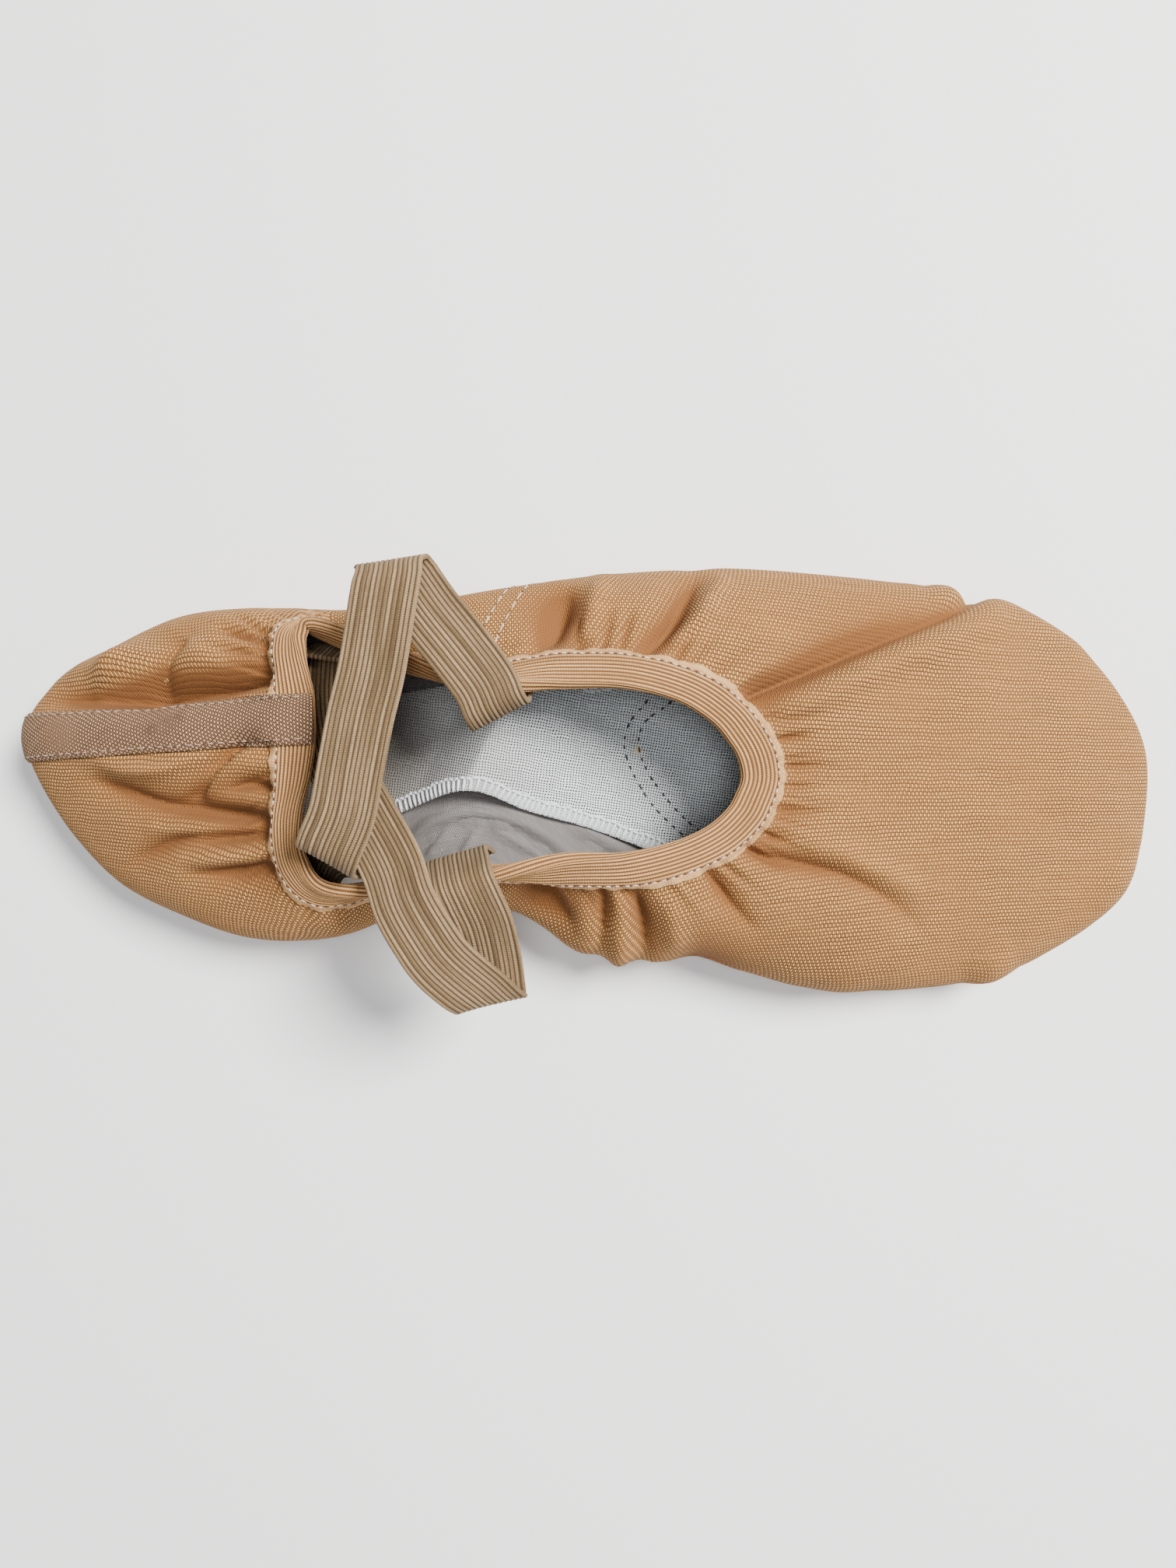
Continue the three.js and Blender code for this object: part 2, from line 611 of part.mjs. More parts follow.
const slipper = new THREE.Group();
slipper.add(part("upper", makeUpper(), canvas));
slipper.add(part("sole_patch_front", makePatch(frontOpening), suede));
slipper.add(part("sole_patch_heel", makePatch(heelOpening), suede));
slipper.add(part("insole", makeInsole(), cotton));
slipper.add(part("collar_binding", makeCollarBinding(), elastic));
slipper.add(part("back_seam_strip", makeBackStrip(), seamTape));
slipper.add(part("strap_over", makeStrap(STRAP_OVER), strapElastic));
slipper.add(part("strap_under", makeStrap(STRAP_UNDER), strapElastic));
slipper.position.x = -heelCentre;

export default slipper;
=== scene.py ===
import math

import bmesh
import bpy
import numpy as np
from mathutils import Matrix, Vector


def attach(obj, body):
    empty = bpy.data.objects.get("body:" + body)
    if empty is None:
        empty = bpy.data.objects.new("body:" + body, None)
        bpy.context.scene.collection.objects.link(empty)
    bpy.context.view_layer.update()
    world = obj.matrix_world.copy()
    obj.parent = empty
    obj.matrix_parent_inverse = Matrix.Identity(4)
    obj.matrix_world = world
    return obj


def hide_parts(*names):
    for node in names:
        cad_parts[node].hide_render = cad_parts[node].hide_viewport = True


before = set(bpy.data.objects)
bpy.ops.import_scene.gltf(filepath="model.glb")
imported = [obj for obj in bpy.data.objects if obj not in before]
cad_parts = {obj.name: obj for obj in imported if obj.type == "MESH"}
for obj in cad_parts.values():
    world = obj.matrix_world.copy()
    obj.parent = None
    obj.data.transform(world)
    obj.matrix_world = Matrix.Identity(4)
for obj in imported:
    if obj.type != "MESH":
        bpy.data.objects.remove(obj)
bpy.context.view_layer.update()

# A canvas ballet slipper. Lengths are in millimetres from the heel, as in the CAD source, and become
# metres in the shared frame when a mesh is made. The numbers below repeat that source's own.
FOOT = 250.0
HALF_BALL = 46.5
COLLAR_HEIGHT = 38.0
SIDE_HEIGHT = 17.0
ARCH_LIFT = 8.0
TOE_SPRING = 2.0
TOE_SPRING_START = 205.0
WALL = 1.3
CLEARANCE = 0.3
PATCH_THICKNESS = 1.2
PATCH_MARGIN = 8.0
INSOLE_THICKNESS = 1.5
INSOLE_PLAY = 0.2
INSOLE_RIDGE = 5.0
BINDING_WIDTH = 9.0
BINDING_THICKNESS = 0.8
BINDING_ROOM = 0.45
STRIP_WIDTH = 10.4
STRIP_THICKNESS = 0.7
STRAP_WIDTH = 13.0
STRAP_THICKNESS = 1.1
HEEL_OPENING = (22.0, 62.0, 12.0, 0.05)
FRONT_OPENING = (141.0, 227.0, 25.0, 0.1)
HEEL_CENTRE = 42.0
METRES = 0.001
ORIGIN = np.array([HEEL_CENTRE, 0, 0])
UP = np.array([0, 0, 1.0])

# along, left, right, rise, crown, middle, base
OUTLINE = np.array([
    (0.0075, 0.172, 0.172, 0.88, 0.26, 0.129, 0.088),
    (0.031, 0.452, -0.185, 0.76, 0.26, 0.125, 0.098),
    (0.081, 0.602, -0.499, 0.71, 0.32, 0.085, 0.124),
    (0.144, 0.757, -0.68, 0.71, 0.34, 0.039, 0.164),
    (0.208, 0.785, -0.783, 0.71, 0.32, 0.01, 0.212),
    (0.28, 0.772, -0.77, 0.82, 0.26, 0.01, 0.272),
    (0.352, 0.796, -0.624, 1, 0.21, 0.086, 0.344),
    (0.424, 0.871, -0.628, 1, 0.26, 0.12, 0.416),
    (0.508, 0.938, -0.806, 0.82, 0.37, 0.065, 0.496),
    (0.6, 0.972, -0.929, 0.71, 0.37, 0.022, 0.584),
    (0.704, 0.953, -0.998, 0.71, 0.34, -0.022, 0.68),
    (0.808, 0.877, -1.011, 0.71, 0.32, -0.062, 0.768),
    (0.904, 0.714, -0.86, 0.71, 0.26, -0.073, 0.844),
    (0.97, 0.376, -0.57, 0.76, 0.21, -0.077, 0.892),
    (0.994, -0.019, -0.019, 0.82, 0.18, -0.075, 0.908),
])
# along, across, height, reach, fall
COLLAR_LEFT = np.array([
    (0.276, 0.256, 0.947, 0.6, 0.03),
    (0.275, 0.34, 0.947, 0.53, 0.04),
    (0.272, 0.411, 0.947, 0.42, 0.08),
    (0.266, 0.523, 0.92, 0.26, 0.13),
    (0.264, 0.619, 0.895, 0.1, 0.21),
    (0.278, 0.671, 0.895, -0.12, 0.24),
    (0.344, 0.538, 0.947, -0.22, 0.21),
    (0.412, 0.402, 1, -0.05, 0.24),
    (0.474, 0.387, 1, 0.21, 0.13),
    (0.528, 0.381, 0.974, 0.32, 0.08),
    (0.572, 0.327, 0.921, 0.5, 0.05),
    (0.601, 0.237, 0.882, 0.7, 0.05),
    (0.617, 0.144, 0.855, 0.9, 0.06),
    (0.626, 0.065, 0.829, 1.1, 0.08),
    (0.629, -0.022, 0.816, 1.18, 0.09),
])
COLLAR_RIGHT = np.array([
    (0.276, 0.256, 0.947, 0.6, 0.03),
    (0.276, 0.131, 0.947, 0.53, 0.04),
    (0.272, -0.022, 0.947, 0.47, 0.05),
    (0.265, -0.189, 0.947, 0.37, 0.08),
    (0.266, -0.37, 0.934, 0.26, 0.16),
    (0.286, -0.512, 0.921, 0.08, 0.24),
    (0.348, -0.523, 0.947, -0.16, 0.21),
    (0.416, -0.467, 1, -0.13, 0.21),
    (0.478, -0.383, 1, 0.14, 0.18),
    (0.528, -0.363, 0.974, 0.3, 0.1),
    (0.569, -0.314, 0.921, 0.48, 0.06),
    (0.598, -0.247, 0.882, 0.7, 0.05),
    (0.616, -0.166, 0.855, 0.9, 0.06),
    (0.624, -0.097, 0.829, 1.1, 0.08),
    (0.629, -0.022, 0.816, 1.18, 0.09),
])
# along, left, right
INSOLE = np.array([
    (0.048, 0.12, 0.12), (0.06, 0.29, -0.05), (0.1, 0.4, -0.23), (0.168, 0.46, -0.36),
    (0.24, 0.4, -0.36), (0.32, 0.39, -0.21), (0.392, 0.44, -0.08), (0.448, 0.48, -0.18),
    (0.504, 0.47, -0.27), (0.568, 0.54, -0.4), (0.648, 0.65, -0.57), (0.74, 0.63, -0.68),
    (0.83, 0.53, -0.65), (0.896, 0.35, -0.48), (0.932, 0.13, -0.24), (0.94, -0.06, -0.06),
])
# The first and last two rows of a strap lie on the slipper's inner face: around, depth, inset,
# heading. The rows between are free: along, across, height, heading.
STRAP_OVER = np.array([
    (7.2, 1.5, 0.06, 12), (7.2, 0.75, 0.06, 14), (0.43, 0.3, 0.87, 22), (0.43, 0.25, 0.99, 28),
    (0.426, 0.285, 1.1, 30), (0.418, 0.383, 1.15, 36), (0.398, 0.527, 1.18, 37), (0.376, 0.675, 1.19, 34),
    (0.357, 0.82, 1.17, 20), (0.348, 0.875, 1.22, 9), (0.347, 0.815, 1.29, 4), (0.344, 0.71, 1.31, -8),
    (0.335, 0.43, 1.29, -12), (0.326, 0.232, 1.28, -12), (0.318, 0.026, 1.26, -11),
    (0.311, -0.168, 1.25, -14), (0.3, -0.308, 1.22, -22), (0.295, -0.363, 1.16, -27),
    (0.294, -0.368, 1.06, -35), (0.298, -0.363, 0.895, -44), (23.35, 0.75, 0.7, -46),
    (23.35, 1.3, 0.7, -50),
])
STRAP_UNDER = np.array([
    (21.3, 1.05, 0.14, 16), (21.3, 0.55, 0.06, 16), (0.397, -0.41, 1.04, 17), (0.401, -0.47, 1.11, 18),
    (0.407, -0.545, 1.1, 18), (0.415, -0.655, 1.04, 15), (0.42, -0.79, 0.965, 9),
    (0.423, -0.91, 0.945, 4), (0.424, -0.985, 1.02, 12), (0.412, -0.93, 1.11, 33),
    (0.387, -0.804, 1.17, 38), (0.372, -0.688, 1.195, 37), (0.357, -0.552, 1.17, 36),
    (0.344, -0.39, 1.075, 33), (0.322, -0.2, 0.97, 32), (0.303, -0.045, 0.87, 29),
    (0.289, 0.095, 0.79, 24), (0.281, 0.235, 0.71, 14), (0.277, 0.37, 0.645, 5), (4.95, 1.35, 0.25, -4),
    (4.95, 0.75, 0.25, -8),
])

LAST = len(OUTLINE) - 1
LOOP = 2 * LAST


# Lines and curves

def smooth_through(before, start, end, after, share):
    bend = 2 * before - 5 * start + 4 * end - after
    twist = 3 * start - before - 3 * end + after
    return 0.5 * (2 * start + (end - before) * share + bend * share ** 2 + twist * share ** 3)


def curve_at(stops, place):
    """A smooth curve through rows of numbers, at places counted in rows."""
    stops = np.asarray(stops, float)
    last = len(stops) - 1
    first = np.minimum(np.floor(place).astype(int), last - 1)
    picked = [stops[np.clip(first + step, 0, last)] for step in (-1, 0, 1, 2)]
    return smooth_through(*picked, (place - first)[..., None])


def loop_value(values, position):
    first = np.floor(position).astype(int)
    picked = [values[(first + step) % LOOP] for step in (-1, 0, 1, 2)]
    return smooth_through(*picked, position - first)


def loop_point(values, names, position):
    return np.stack([loop_value(values[name], position) for name in names], -1)


def smoothstep(value, start, end):
    share = np.clip((value - start) / (end - start), 0, 1)
    return share * share * (3 - 2 * share)


def bezier(a, b, c, d, share):
    share = share[..., None]
    rest = 1 - share
    return a * rest ** 3 + 3 * b * share * rest ** 2 + 3 * c * share ** 2 * rest + d * share ** 3


def unit(vectors):
    return vectors / np.linalg.norm(vectors, axis=-1, keepdims=True)


def lengths_along(points):
    """How far along its line each point lies; the last axis but one runs along."""
    steps = np.linalg.norm(np.diff(points, axis=-2), axis=-1)
    return np.concatenate([np.zeros_like(steps[..., :1]), np.cumsum(steps, axis=-1)], -1)


def line_at(points, run, distance):
    """The point at a distance along a line whose points lie at the lengths in run."""
    return np.stack([np.interp(distance, run, column) for column in points.T], -1)


# The slipper's surface

def around(left, right, *columns):
    """Named columns of two tables, up the left side of the slipper and back along the right one."""
    return {name: np.concatenate([left[:, first], right[LAST - 1:0:-1, second]]) * scale
            for name, first, second, scale in columns}


SIDE = around(OUTLINE, OUTLINE, ("x", 0, 0, FOOT), ("y", 1, 2, HALF_BALL), ("z", 3, 3, SIDE_HEIGHT),
              ("crown", 4, 4, COLLAR_HEIGHT), ("middle", 5, 5, HALF_BALL), ("base", 6, 6, FOOT))
EDGE = around(COLLAR_LEFT, COLLAR_RIGHT, ("x", 0, 0, FOOT), ("y", 1, 1, HALF_BALL),
              ("z", 2, 2, COLLAR_HEIGHT), ("reach", 3, 3, COLLAR_HEIGHT), ("fall", 4, 4, COLLAR_HEIGHT))
# How far the wall keeps on down from the outline, and in along the floor, as it turns under
TURN_DOWN = 0.95
TURN_IN = 0.9


def ground(x):
    arch_start = HEEL_OPENING[1] + PATCH_MARGIN
    arch_end = FRONT_OPENING[0] - PATCH_MARGIN
    toe_end = FRONT_OPENING[1] + PATCH_MARGIN
    arch = np.clip((x - arch_start) / (arch_end - arch_start), 0, 1)
    toe = np.clip((x - TOE_SPRING_START) / (toe_end - TOE_SPRING_START), 0, 1)
    return ARCH_LIFT * np.sin(math.pi * arch) ** 2 + TOE_SPRING * toe ** 2


def opening_half(opening, x, margin):
    start, end, half_width, taper = opening
    share = (x - (start + end) / 2) / ((end - start) / 2 + margin)
    inside = np.sqrt(np.clip(1 - share ** 2, 0, 1))
    return np.where(np.abs(share) < 1, (half_width + margin) * inside * (1 + taper * share), 0)


def cloth(position, reach):
    """Outer face: reach 0 is the collar edge, 1 the outline, 2 the edge of the sole opening."""
    position, reach = np.broadcast_arrays(np.asarray(position, float) % LOOP, np.asarray(reach, float))
    edge = loop_point(EDGE, "xyz", position)
    side = loop_point(SIDE, "xyz", position)
    leave = edge + unit((side - edge) * (1, 1, 0)) * loop_value(EDGE["reach"], position)[..., None]
    leave[..., 2] -= loop_value(EDGE["fall"], position)
    arrive = side.copy()
    arrive[..., 2] += loop_value(SIDE["crown"], position)
    base_x = loop_value(SIDE["base"], position)
    half = opening_half(HEEL_OPENING, base_x, 0) + opening_half(FRONT_OPENING, base_x, 0)
    base_y = loop_value(SIDE["middle"], position) + np.where(position <= LAST, 1, -1) * half
    base_z = PATCH_THICKNESS + CLEARANCE
    base = np.stack([base_x, base_y, np.full_like(base_x, base_z)], -1)
    down = side.copy()
    down[..., 2] -= TURN_DOWN * (side[..., 2] - base_z)
    inward = side.copy()
    inward[..., 2] = base_z
    inward = base + (inward - base) * TURN_IN
    upper = bezier(edge, leave, arrive, side, np.clip(reach, 0, 1))
    lower = bezier(side, down, inward, base, np.clip(reach - 1, 0, 1))
    lower[..., 2] += ground(lower[..., 0]) * smoothstep(reach, 1, 1.4)
    return np.where((reach <= 1)[..., None], upper, lower)


def cloth_normal(position, reach):
    """The outward direction, which turns straight down at the edge of the sole opening."""
    along = cloth(position + 0.03, reach) - cloth(position - 0.03, reach)
    down = cloth(position, np.minimum(reach + 0.01, 2)) - cloth(position, np.maximum(reach - 0.01, 0))
    flat = np.clip((np.asarray(reach, float) - 1.7) / 0.3, 0, 1)[..., None]
    return unit(unit(np.cross(along, down)) * (1 - flat) - UP * flat)


def off_cloth(position, reach, away):
    """Points off the smooth outer face, along its normal."""
    return cloth(position, reach) + cloth_normal(position, reach) * away[..., None]


# Tables that turn a reach into a distance from the collar edge and back
SAMPLES = 240
TABLE_STEPS = 40
RUN_STEP = 0.25
LONGEST_RUN = 80
table_positions = np.arange(LOOP * TABLE_STEPS) / TABLE_STEPS
table_reaches = np.linspace(0, 1, SAMPLES + 1)
table_length = lengths_along(cloth(table_positions[:, None], table_reaches))
run_grid = np.arange(0, LONGEST_RUN, RUN_STEP)
table_reach = np.stack([np.interp(run_grid, row, table_reaches) for row in table_length])


def read_table(table, position, place):
    """The value between the four nearest ones of a table with a row for each place around."""
    row = (position % LOOP) * TABLE_STEPS
    first = np.floor(row).astype(int) % len(table)
    share = row - np.floor(row)
    column = np.minimum(np.floor(place).astype(int), table.shape[1] - 2)
    rest = np.minimum(place - column, 1)

    def read(picked):
        return table[picked, column] * (1 - rest) + table[picked, column + 1] * rest

    return read(first) * (1 - share) + read((first + 1) % len(table)) * share


def reach_at(position, distance):
    """The reach at a distance down the cloth from the collar edge."""
    position, distance = np.broadcast_arrays(np.asarray(position, float), np.asarray(distance, float))
    return read_table(table_reach, position, np.maximum(distance, 0) / RUN_STEP)


def distance_at(position, reach):
    """How far down the cloth a reach lies from the collar edge."""
    return read_table(table_length, position, np.clip(reach, 0, 1) * SAMPLES)


def past_edge(position, distance):
    """The step straight on past the collar edge for a negative distance, none for others."""
    upward = unit(cloth(position, 0.0) - cloth(position, 0.01))
    return upward * np.maximum(-distance, 0)[..., None]


def collar_place(position, distance, offset):
    """Points at a distance below the collar edge, or beyond it if negative, and off the outer face."""
    position, distance, offset = np.broadcast_arrays(position, distance, offset)
    return off_cloth(position, reach_at(position, distance), offset) + past_edge(position, distance)



# Creases

# width, how far down the side it holds, then x, y, depth along its line: below 0 a trough
CREASES = [
    # far side, from the collar to the outline
    (3.6, 0.8, [(121, 41, -0.6), (119, 36, -3), (117, 30, -2.6), (115, 26, -0.8)]),
    (2.6, 0.9, [(128, 42, 0.3), (126, 36, 1), (124, 30, 0.6)]),
    (1.1, 1, [(124, 35, -0.1), (123, 31, -0.9), (123, 26, -1)]),
    (1.1, 1, [(130, 35, -0.1), (129, 31, -0.9), (128, 26, -1)]),
    (1.1, 1, [(134, 35, -0.1), (133, 31, -0.9), (132, 26, -1)]),
    (2, 1.2, [(148, 42, -0.8), (146, 39, -1.8), (143, 33, -2.6), (140, 29, -2.4), (137, 25, -1.6)]),
    (2.4, 1.2, [(153, 40, 0.8), (149, 34, 1.3), (144, 28, 0.8)]),
    (1.2, 1, [(149, 31, 0), (145, 27, -1), (143, 22, -1.1)]),
    # the long crease between the side and the toe
    (2.2, 1.2, [(155, 12, -0.8), (160, 16, -2.5), (174, 22.5, -2.4), (184, 27, -1.9), (197, 32.5, -1.5),
                (209, 38.5, -2.4), (214, 42, -1.5)]),
    (5, 1.2, [(163, 20, -0.3), (174, 26, -0.9), (186, 31, -0.8), (198, 36, -0.3)]),
    (4, 1.2, [(165, 12, 0.6), (176, 18, 1.4), (188, 23.5, 1.5), (200, 28, 1.3), (212, 33, 0.9)]),
    # short gathers at the front of the throat
    (1.6, 1, [(160, 11, -0.7), (165, 11, -1.1), (174, 12, -0.2)]),
    (1.4, 1, [(160, 7, -0.5), (166, 7, -0.8), (172, 7, 0)]),
    (1.6, 1, [(160, 2, -0.6), (166, 1.5, -1), (175, 1.5, -0.1)]),
    (1.5, 1, [(160, -3, -0.5), (166, -3, -0.8), (173, -3, 0)]),
    (1.6, 1, [(160, -7, -0.7), (166, -7.5, -1.1), (175, -8, -0.2)]),
    (1.6, 1, [(158, -12, -0.7), (164, -13, -1), (172, -14, -0.1)]),
    # near side
    (2.2, 1.1, [(154, -13, -0.8), (161, -17, -1.7), (170, -19, -1.7), (180, -22, -1.2), (190, -28, -0.6),
                (197, -35, -0.1)]),
    (3.4, 1.1, [(168, -14, 0.5), (180, -18, 0.9), (192, -24, 0.6)]),
    (2, 1, [(149, -19, -0.8), (152, -24, -1.6), (155, -28, -1.2), (160, -33, -0.2)]),
    (1.5, 1.1, [(128, -25, -1), (128, -29, -1.6), (128, -36, -0.9)]),
    (2, 0.95, [(135, -25, -1.1), (136, -31, -1.7), (137, -37, -1.3), (138, -41, 0)]),
    (2.6, 1.2, [(131.5, -28, 0.4), (132, -34, 0.8), (132.5, -40, 1)]),
    (2.6, 1, [(142, -28, 0.5), (143, -34, 0.6), (144, -38, 0)]),
    (5, 0.75, [(111, -22, -1), (115, -26, -2.6), (119, -30, -2.6), (122, -34, -1.2)]),
    # corners of the outline, seen from above
    (6, 1.5, [(143, -41, -0.5), (149, -42, -1.3), (158, -43, -0.6)]),
    (7, 1.5, [(120, -30, 1.1), (125, -37, 1.7), (131, -40, 1.3), (138, -41, 0.8)]),
    (8, 1.5, [(172, -46, 0.6), (180, -47, 0.9), (188, -47, 0.3)]),
    (6, 1.5, [(207, -45, 0.2), (213, -43, 1.2), (219, -40, 0.3)]),
    (5, 1.5, [(234, -30, 0.2), (240, -24, 0.9), (244, -16, 0.2)]),
    (6, 1.5, [(199, 41, 0.3), (206, 40, 1.6), (213, 39, 1.2), (222, 34, 0.6), (231, 28, 0.5)]),
    # upper half of the heel
    (3, 0.9, [(40, 29, -0.4), (38, 26, -1.4), (34, 21, -1.7), (32, 17, -1)]),
    (3, 0.9, [(28, 27, 0.3), (24, 22, 0.9), (20, 18, 0.4)]),
    (2.7, 1.1, [(60, 21, -1.8), (52, 19.5, -3.2), (44, 18.5, -3.4), (35, 17.5, -3), (26, 17, -2.4),
                (16, 16.5, -1.4), (8, 16, -0.3)]),
    (4.2, 1.1, [(54, 25, 0.6), (42, 24.5, 1.2), (28, 23, 1.2), (16, 21, 0.4)]),
    (1.7, 1, [(58, 26, -1.1), (50, 26, -1), (43, 27, -0.1)]),
    (1.6, 1, [(57, 30, -1), (51, 30, -0.8), (46, 31, 0)]),
    (1.5, 1, [(59, 16.9, 0.2), (46, 15.9, 0.4), (36, 15, 0.2)]),
    # lower half of the heel
    (2.2, 1.1, [(59, -9.5, -1.6), (52, -9, -2.2), (44, -8, -1.8), (36, -7, -1.4), (26, -4, -1.2),
                (18, -1, -0.2)]),
    (1.5, 1, [(60, -3, -1.4), (55, -2.5, -1.5), (50, -3.5, -0.4)]),
    (1.6, 1, [(60, 6, -0.6), (54, 5.5, -1.5), (49, 1, -1.7), (44, -4, -1.3), (40, -6, -0.3)]),
    (2.4, 1, [(44, 3, 0.4), (36, 1, 1.2), (28, 1, 1), (20, 3, 0.2)]),
    (2.2, 1, [(52, -12.5, -0.3), (40, -14, -1.2), (32, -17, -1), (26, -20, -0.2)]),
    (1.8, 1, [(58, 5, 0.5), (53, 3.2, 1.2), (48, -0.5, 1.2), (45, -4, 0.5)]),
    (1.7, 1, [(58, -13, -1.2), (50, -14, -1.3), (43, -15, -0.3)]),
    (2.6, 1, [(55, -11.5, 0.5), (44, -12, 0.9), (34, -11.5, 0.4)]),
    (2, 1, [(59, -20, -1.2), (51, -21.5, -1.6), (44, -21.5, -0.8), (38, -21, 0)]),
    (2, 1, [(57, -17, 0.4), (48, -18, 0.8), (40, -18.5, 0.2)]),
]

# Straight pieces of a crease's line between two of its stops
LINE_STEPS = 6
# What the table's depths are multiplied by, in a trough and on a ridge, and once more at the heel
IN_TROUGH = 2.2
ON_RIDGE = 1.8
AT_HEEL = 1.3


def polyline_depth(x, y, width, stops):
    """Depth at each point near a line, falling off softly to both sides."""
    stops = np.array(stops, float)
    low = stops.min(axis=0) - 4.0 * width
    high = stops.max(axis=0) + 4.0 * width
    near = (x > low[0]) & (x < high[0]) & (y > low[1]) & (y < high[1])
    result = np.zeros(x.shape)
    if not near.any():
        return result
    px, py = x[near], y[near]
    line = curve_at(stops, np.arange(LINE_STEPS * (len(stops) - 1) + 1) / LINE_STEPS)
    best = np.full(px.shape, np.inf)
    depth = np.zeros(px.shape)
    for start, end in zip(line[:-1], line[1:]):
        run = end[:2] - start[:2]
        share = ((px - start[0]) * run[0] + (py - start[1]) * run[1]) / (run @ run)
        share = np.clip(share, 0, 1)
        gap = np.hypot(px - start[0] - share * run[0], py - start[1] - share * run[1])
        nearer = gap < best
        best = np.where(nearer, gap, best)
        depth = np.where(nearer, start[2] + share * (end[2] - start[2]), depth)
    away = best / width
    crisp = 0.65 * np.exp(-1.5 * away ** 1.2) + 0.35 * np.exp(-1.4 * (away / 2.2) ** 2)
    result[near] = depth * np.where(depth < 0, crisp, np.exp(-1.4 * away ** 2))
    return result


def cloth_relief(position, reach):
    """How far the worn canvas lies off the smooth surface, along its normal."""
    x, y, _ = np.moveaxis(cloth(position, reach), -1, 0)
    relief = np.zeros(x.shape)
    for width, hold, stops in CREASES:
        depth = polyline_depth(x, y, width, stops)
        depth *= np.where(depth < 0, IN_TROUGH, ON_RIDGE)
        relief += depth * (1 - smoothstep(reach, hold - 0.1, hold + 0.25))
    relief *= AT_HEEL - (AT_HEEL - 1) * smoothstep(x, 56, 72)
    distance = distance_at(position, reach)
    from_seam = np.minimum(position % LOOP, LOOP - position % LOOP)
    near_heel = 1 - smoothstep(from_seam, 4.0, 6.0)
    pucker = np.sin(position * 12.4 + 1.3 * np.sin(position * 2.3)) * np.sin(position * 5.1 + 0.7)
    fine_pucker = np.sin(position * 27.0 + 1.7 * np.sin(position * 3.1))
    pucker = 0.5 * pucker - 0.35 * np.maximum(fine_pucker, 0) ** 3
    pucker *= np.exp(-((distance - 10) / 6.0) ** 2)
    gather = np.abs(np.sin(position * 3.3 + 1.5 * np.sin(position * 1.9) + 0.4)) ** 0.6 - 0.7
    gather *= (0.9 + 0.9 * near_heel) * (0.75 + 0.25 * np.sin(position * 2.6))
    pucker += gather * np.exp(-((distance - 10.5) / (8.0 + 2.0 * near_heel)) ** 2)
    slack = 0.22 * np.sin(x / 7.3 + 0.8 * np.sin(y / 9)) * np.sin(y / 6.1 + x / 23)
    relief += pucker * smoothstep(from_seam, 0.3, 0.9) + slack * (1 - smoothstep(reach, 1.2, 1.6))
    return relief * smoothstep(distance, 5.5, 10.5)


# Meshes

def link(name, data):
    item = bpy.data.objects.new(name, data)
    bpy.context.scene.collection.objects.link(item)
    return item


def add_mesh(name, points, faces):
    """A smooth-shaded mesh object, with its points in millimetres from the heel."""
    mesh = bpy.data.meshes.new(name)
    mesh.from_pydata(((points - ORIGIN) * METRES).tolist(), [], faces)
    mesh.polygons.foreach_set("use_smooth", np.ones(len(mesh.polygons), bool))
    return link(name, mesh)


def edit_mesh(item, edit):
    body = bmesh.new()
    body.from_mesh(item.data)
    edit(body)
    body.to_mesh(item.data)
    body.free()


def grid(points, uv, closed_along):
    """Quads over rows of closed sections; uv has one more row or column where the grid closes."""
    rows, columns = points.shape[:2]
    row, column = (part.ravel() for part in np.indices((rows - 1 + closed_along, columns)))
    corners = [(row, column), (row + 1, column), (row + 1, column + 1), (row, column + 1)]
    faces = np.stack([(a % rows) * columns + b % columns for a, b in corners], -1)
    face_uv = np.stack([uv[a, b] for a, b in corners], 1)
    return points.reshape(-1, 3), faces, face_uv


def close_ends(rows, size, faces, face_uv):
    """Quads across both ends of a tube whose section runs out along one face and back on the other."""
    step = np.arange(size // 2 - 1)
    caps = []
    for base in (0, (rows - 1) * size):
        caps.append(base + np.stack([step, step + 1, size - 2 - step, size - 1 - step], -1))
    caps = np.concatenate([caps[0], caps[1][:, ::-1]])
    return np.concatenate([faces, caps]), np.concatenate([face_uv, np.zeros((len(caps), 4, 2))])


def paint(item, name, values):
    layer = item.data.attributes.new(name, "FLOAT", "POINT")
    layer.data.foreach_set("value", np.asarray(values, np.float32).ravel())


def make_skin(name, points, uv, closed_along, relief=None):
    """A closed skin over rows of sections, joined end to end or capped, with its faces turned out."""
    sections, size = points.shape[:2]
    points, faces, face_uv = grid(points, uv, closed_along)
    if not closed_along:
        faces, face_uv = close_ends(sections, size, faces, face_uv)
    a, b, c, d = (points[faces[:, corner]] for corner in range(4))
    volume = (a * (np.cross(b, c) + np.cross(c, d))).sum()
    if volume < 0:
        faces = faces[:, ::-1]
        face_uv = face_uv[:, ::-1]
    item = add_mesh(name, points, faces.tolist())
    layer = item.data.uv_layers.new(name="cloth")
    layer.data.foreach_set("uv", np.ascontiguousarray(face_uv, dtype=np.float32).ravel())
    if relief is not None:
        paint(item, "relief", np.broadcast_to(relief, (sections, size)))
    return item


def flat_uv(points):
    """The ground plan of a piece, closed across, as its uv in millimetres."""
    return np.concatenate([points[..., :2], points[:, :1, :2]], 1)


def crossed(run, sides):
    """A uv that runs in millimetres along and across a tape."""
    return np.stack(np.broadcast_arrays(run[:, None], sides), -1)


def finish_piece(item, look, slot, *nodes):
    item.data.materials.append(look)
    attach(item, "root")
    if nodes:
        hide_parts(*nodes)


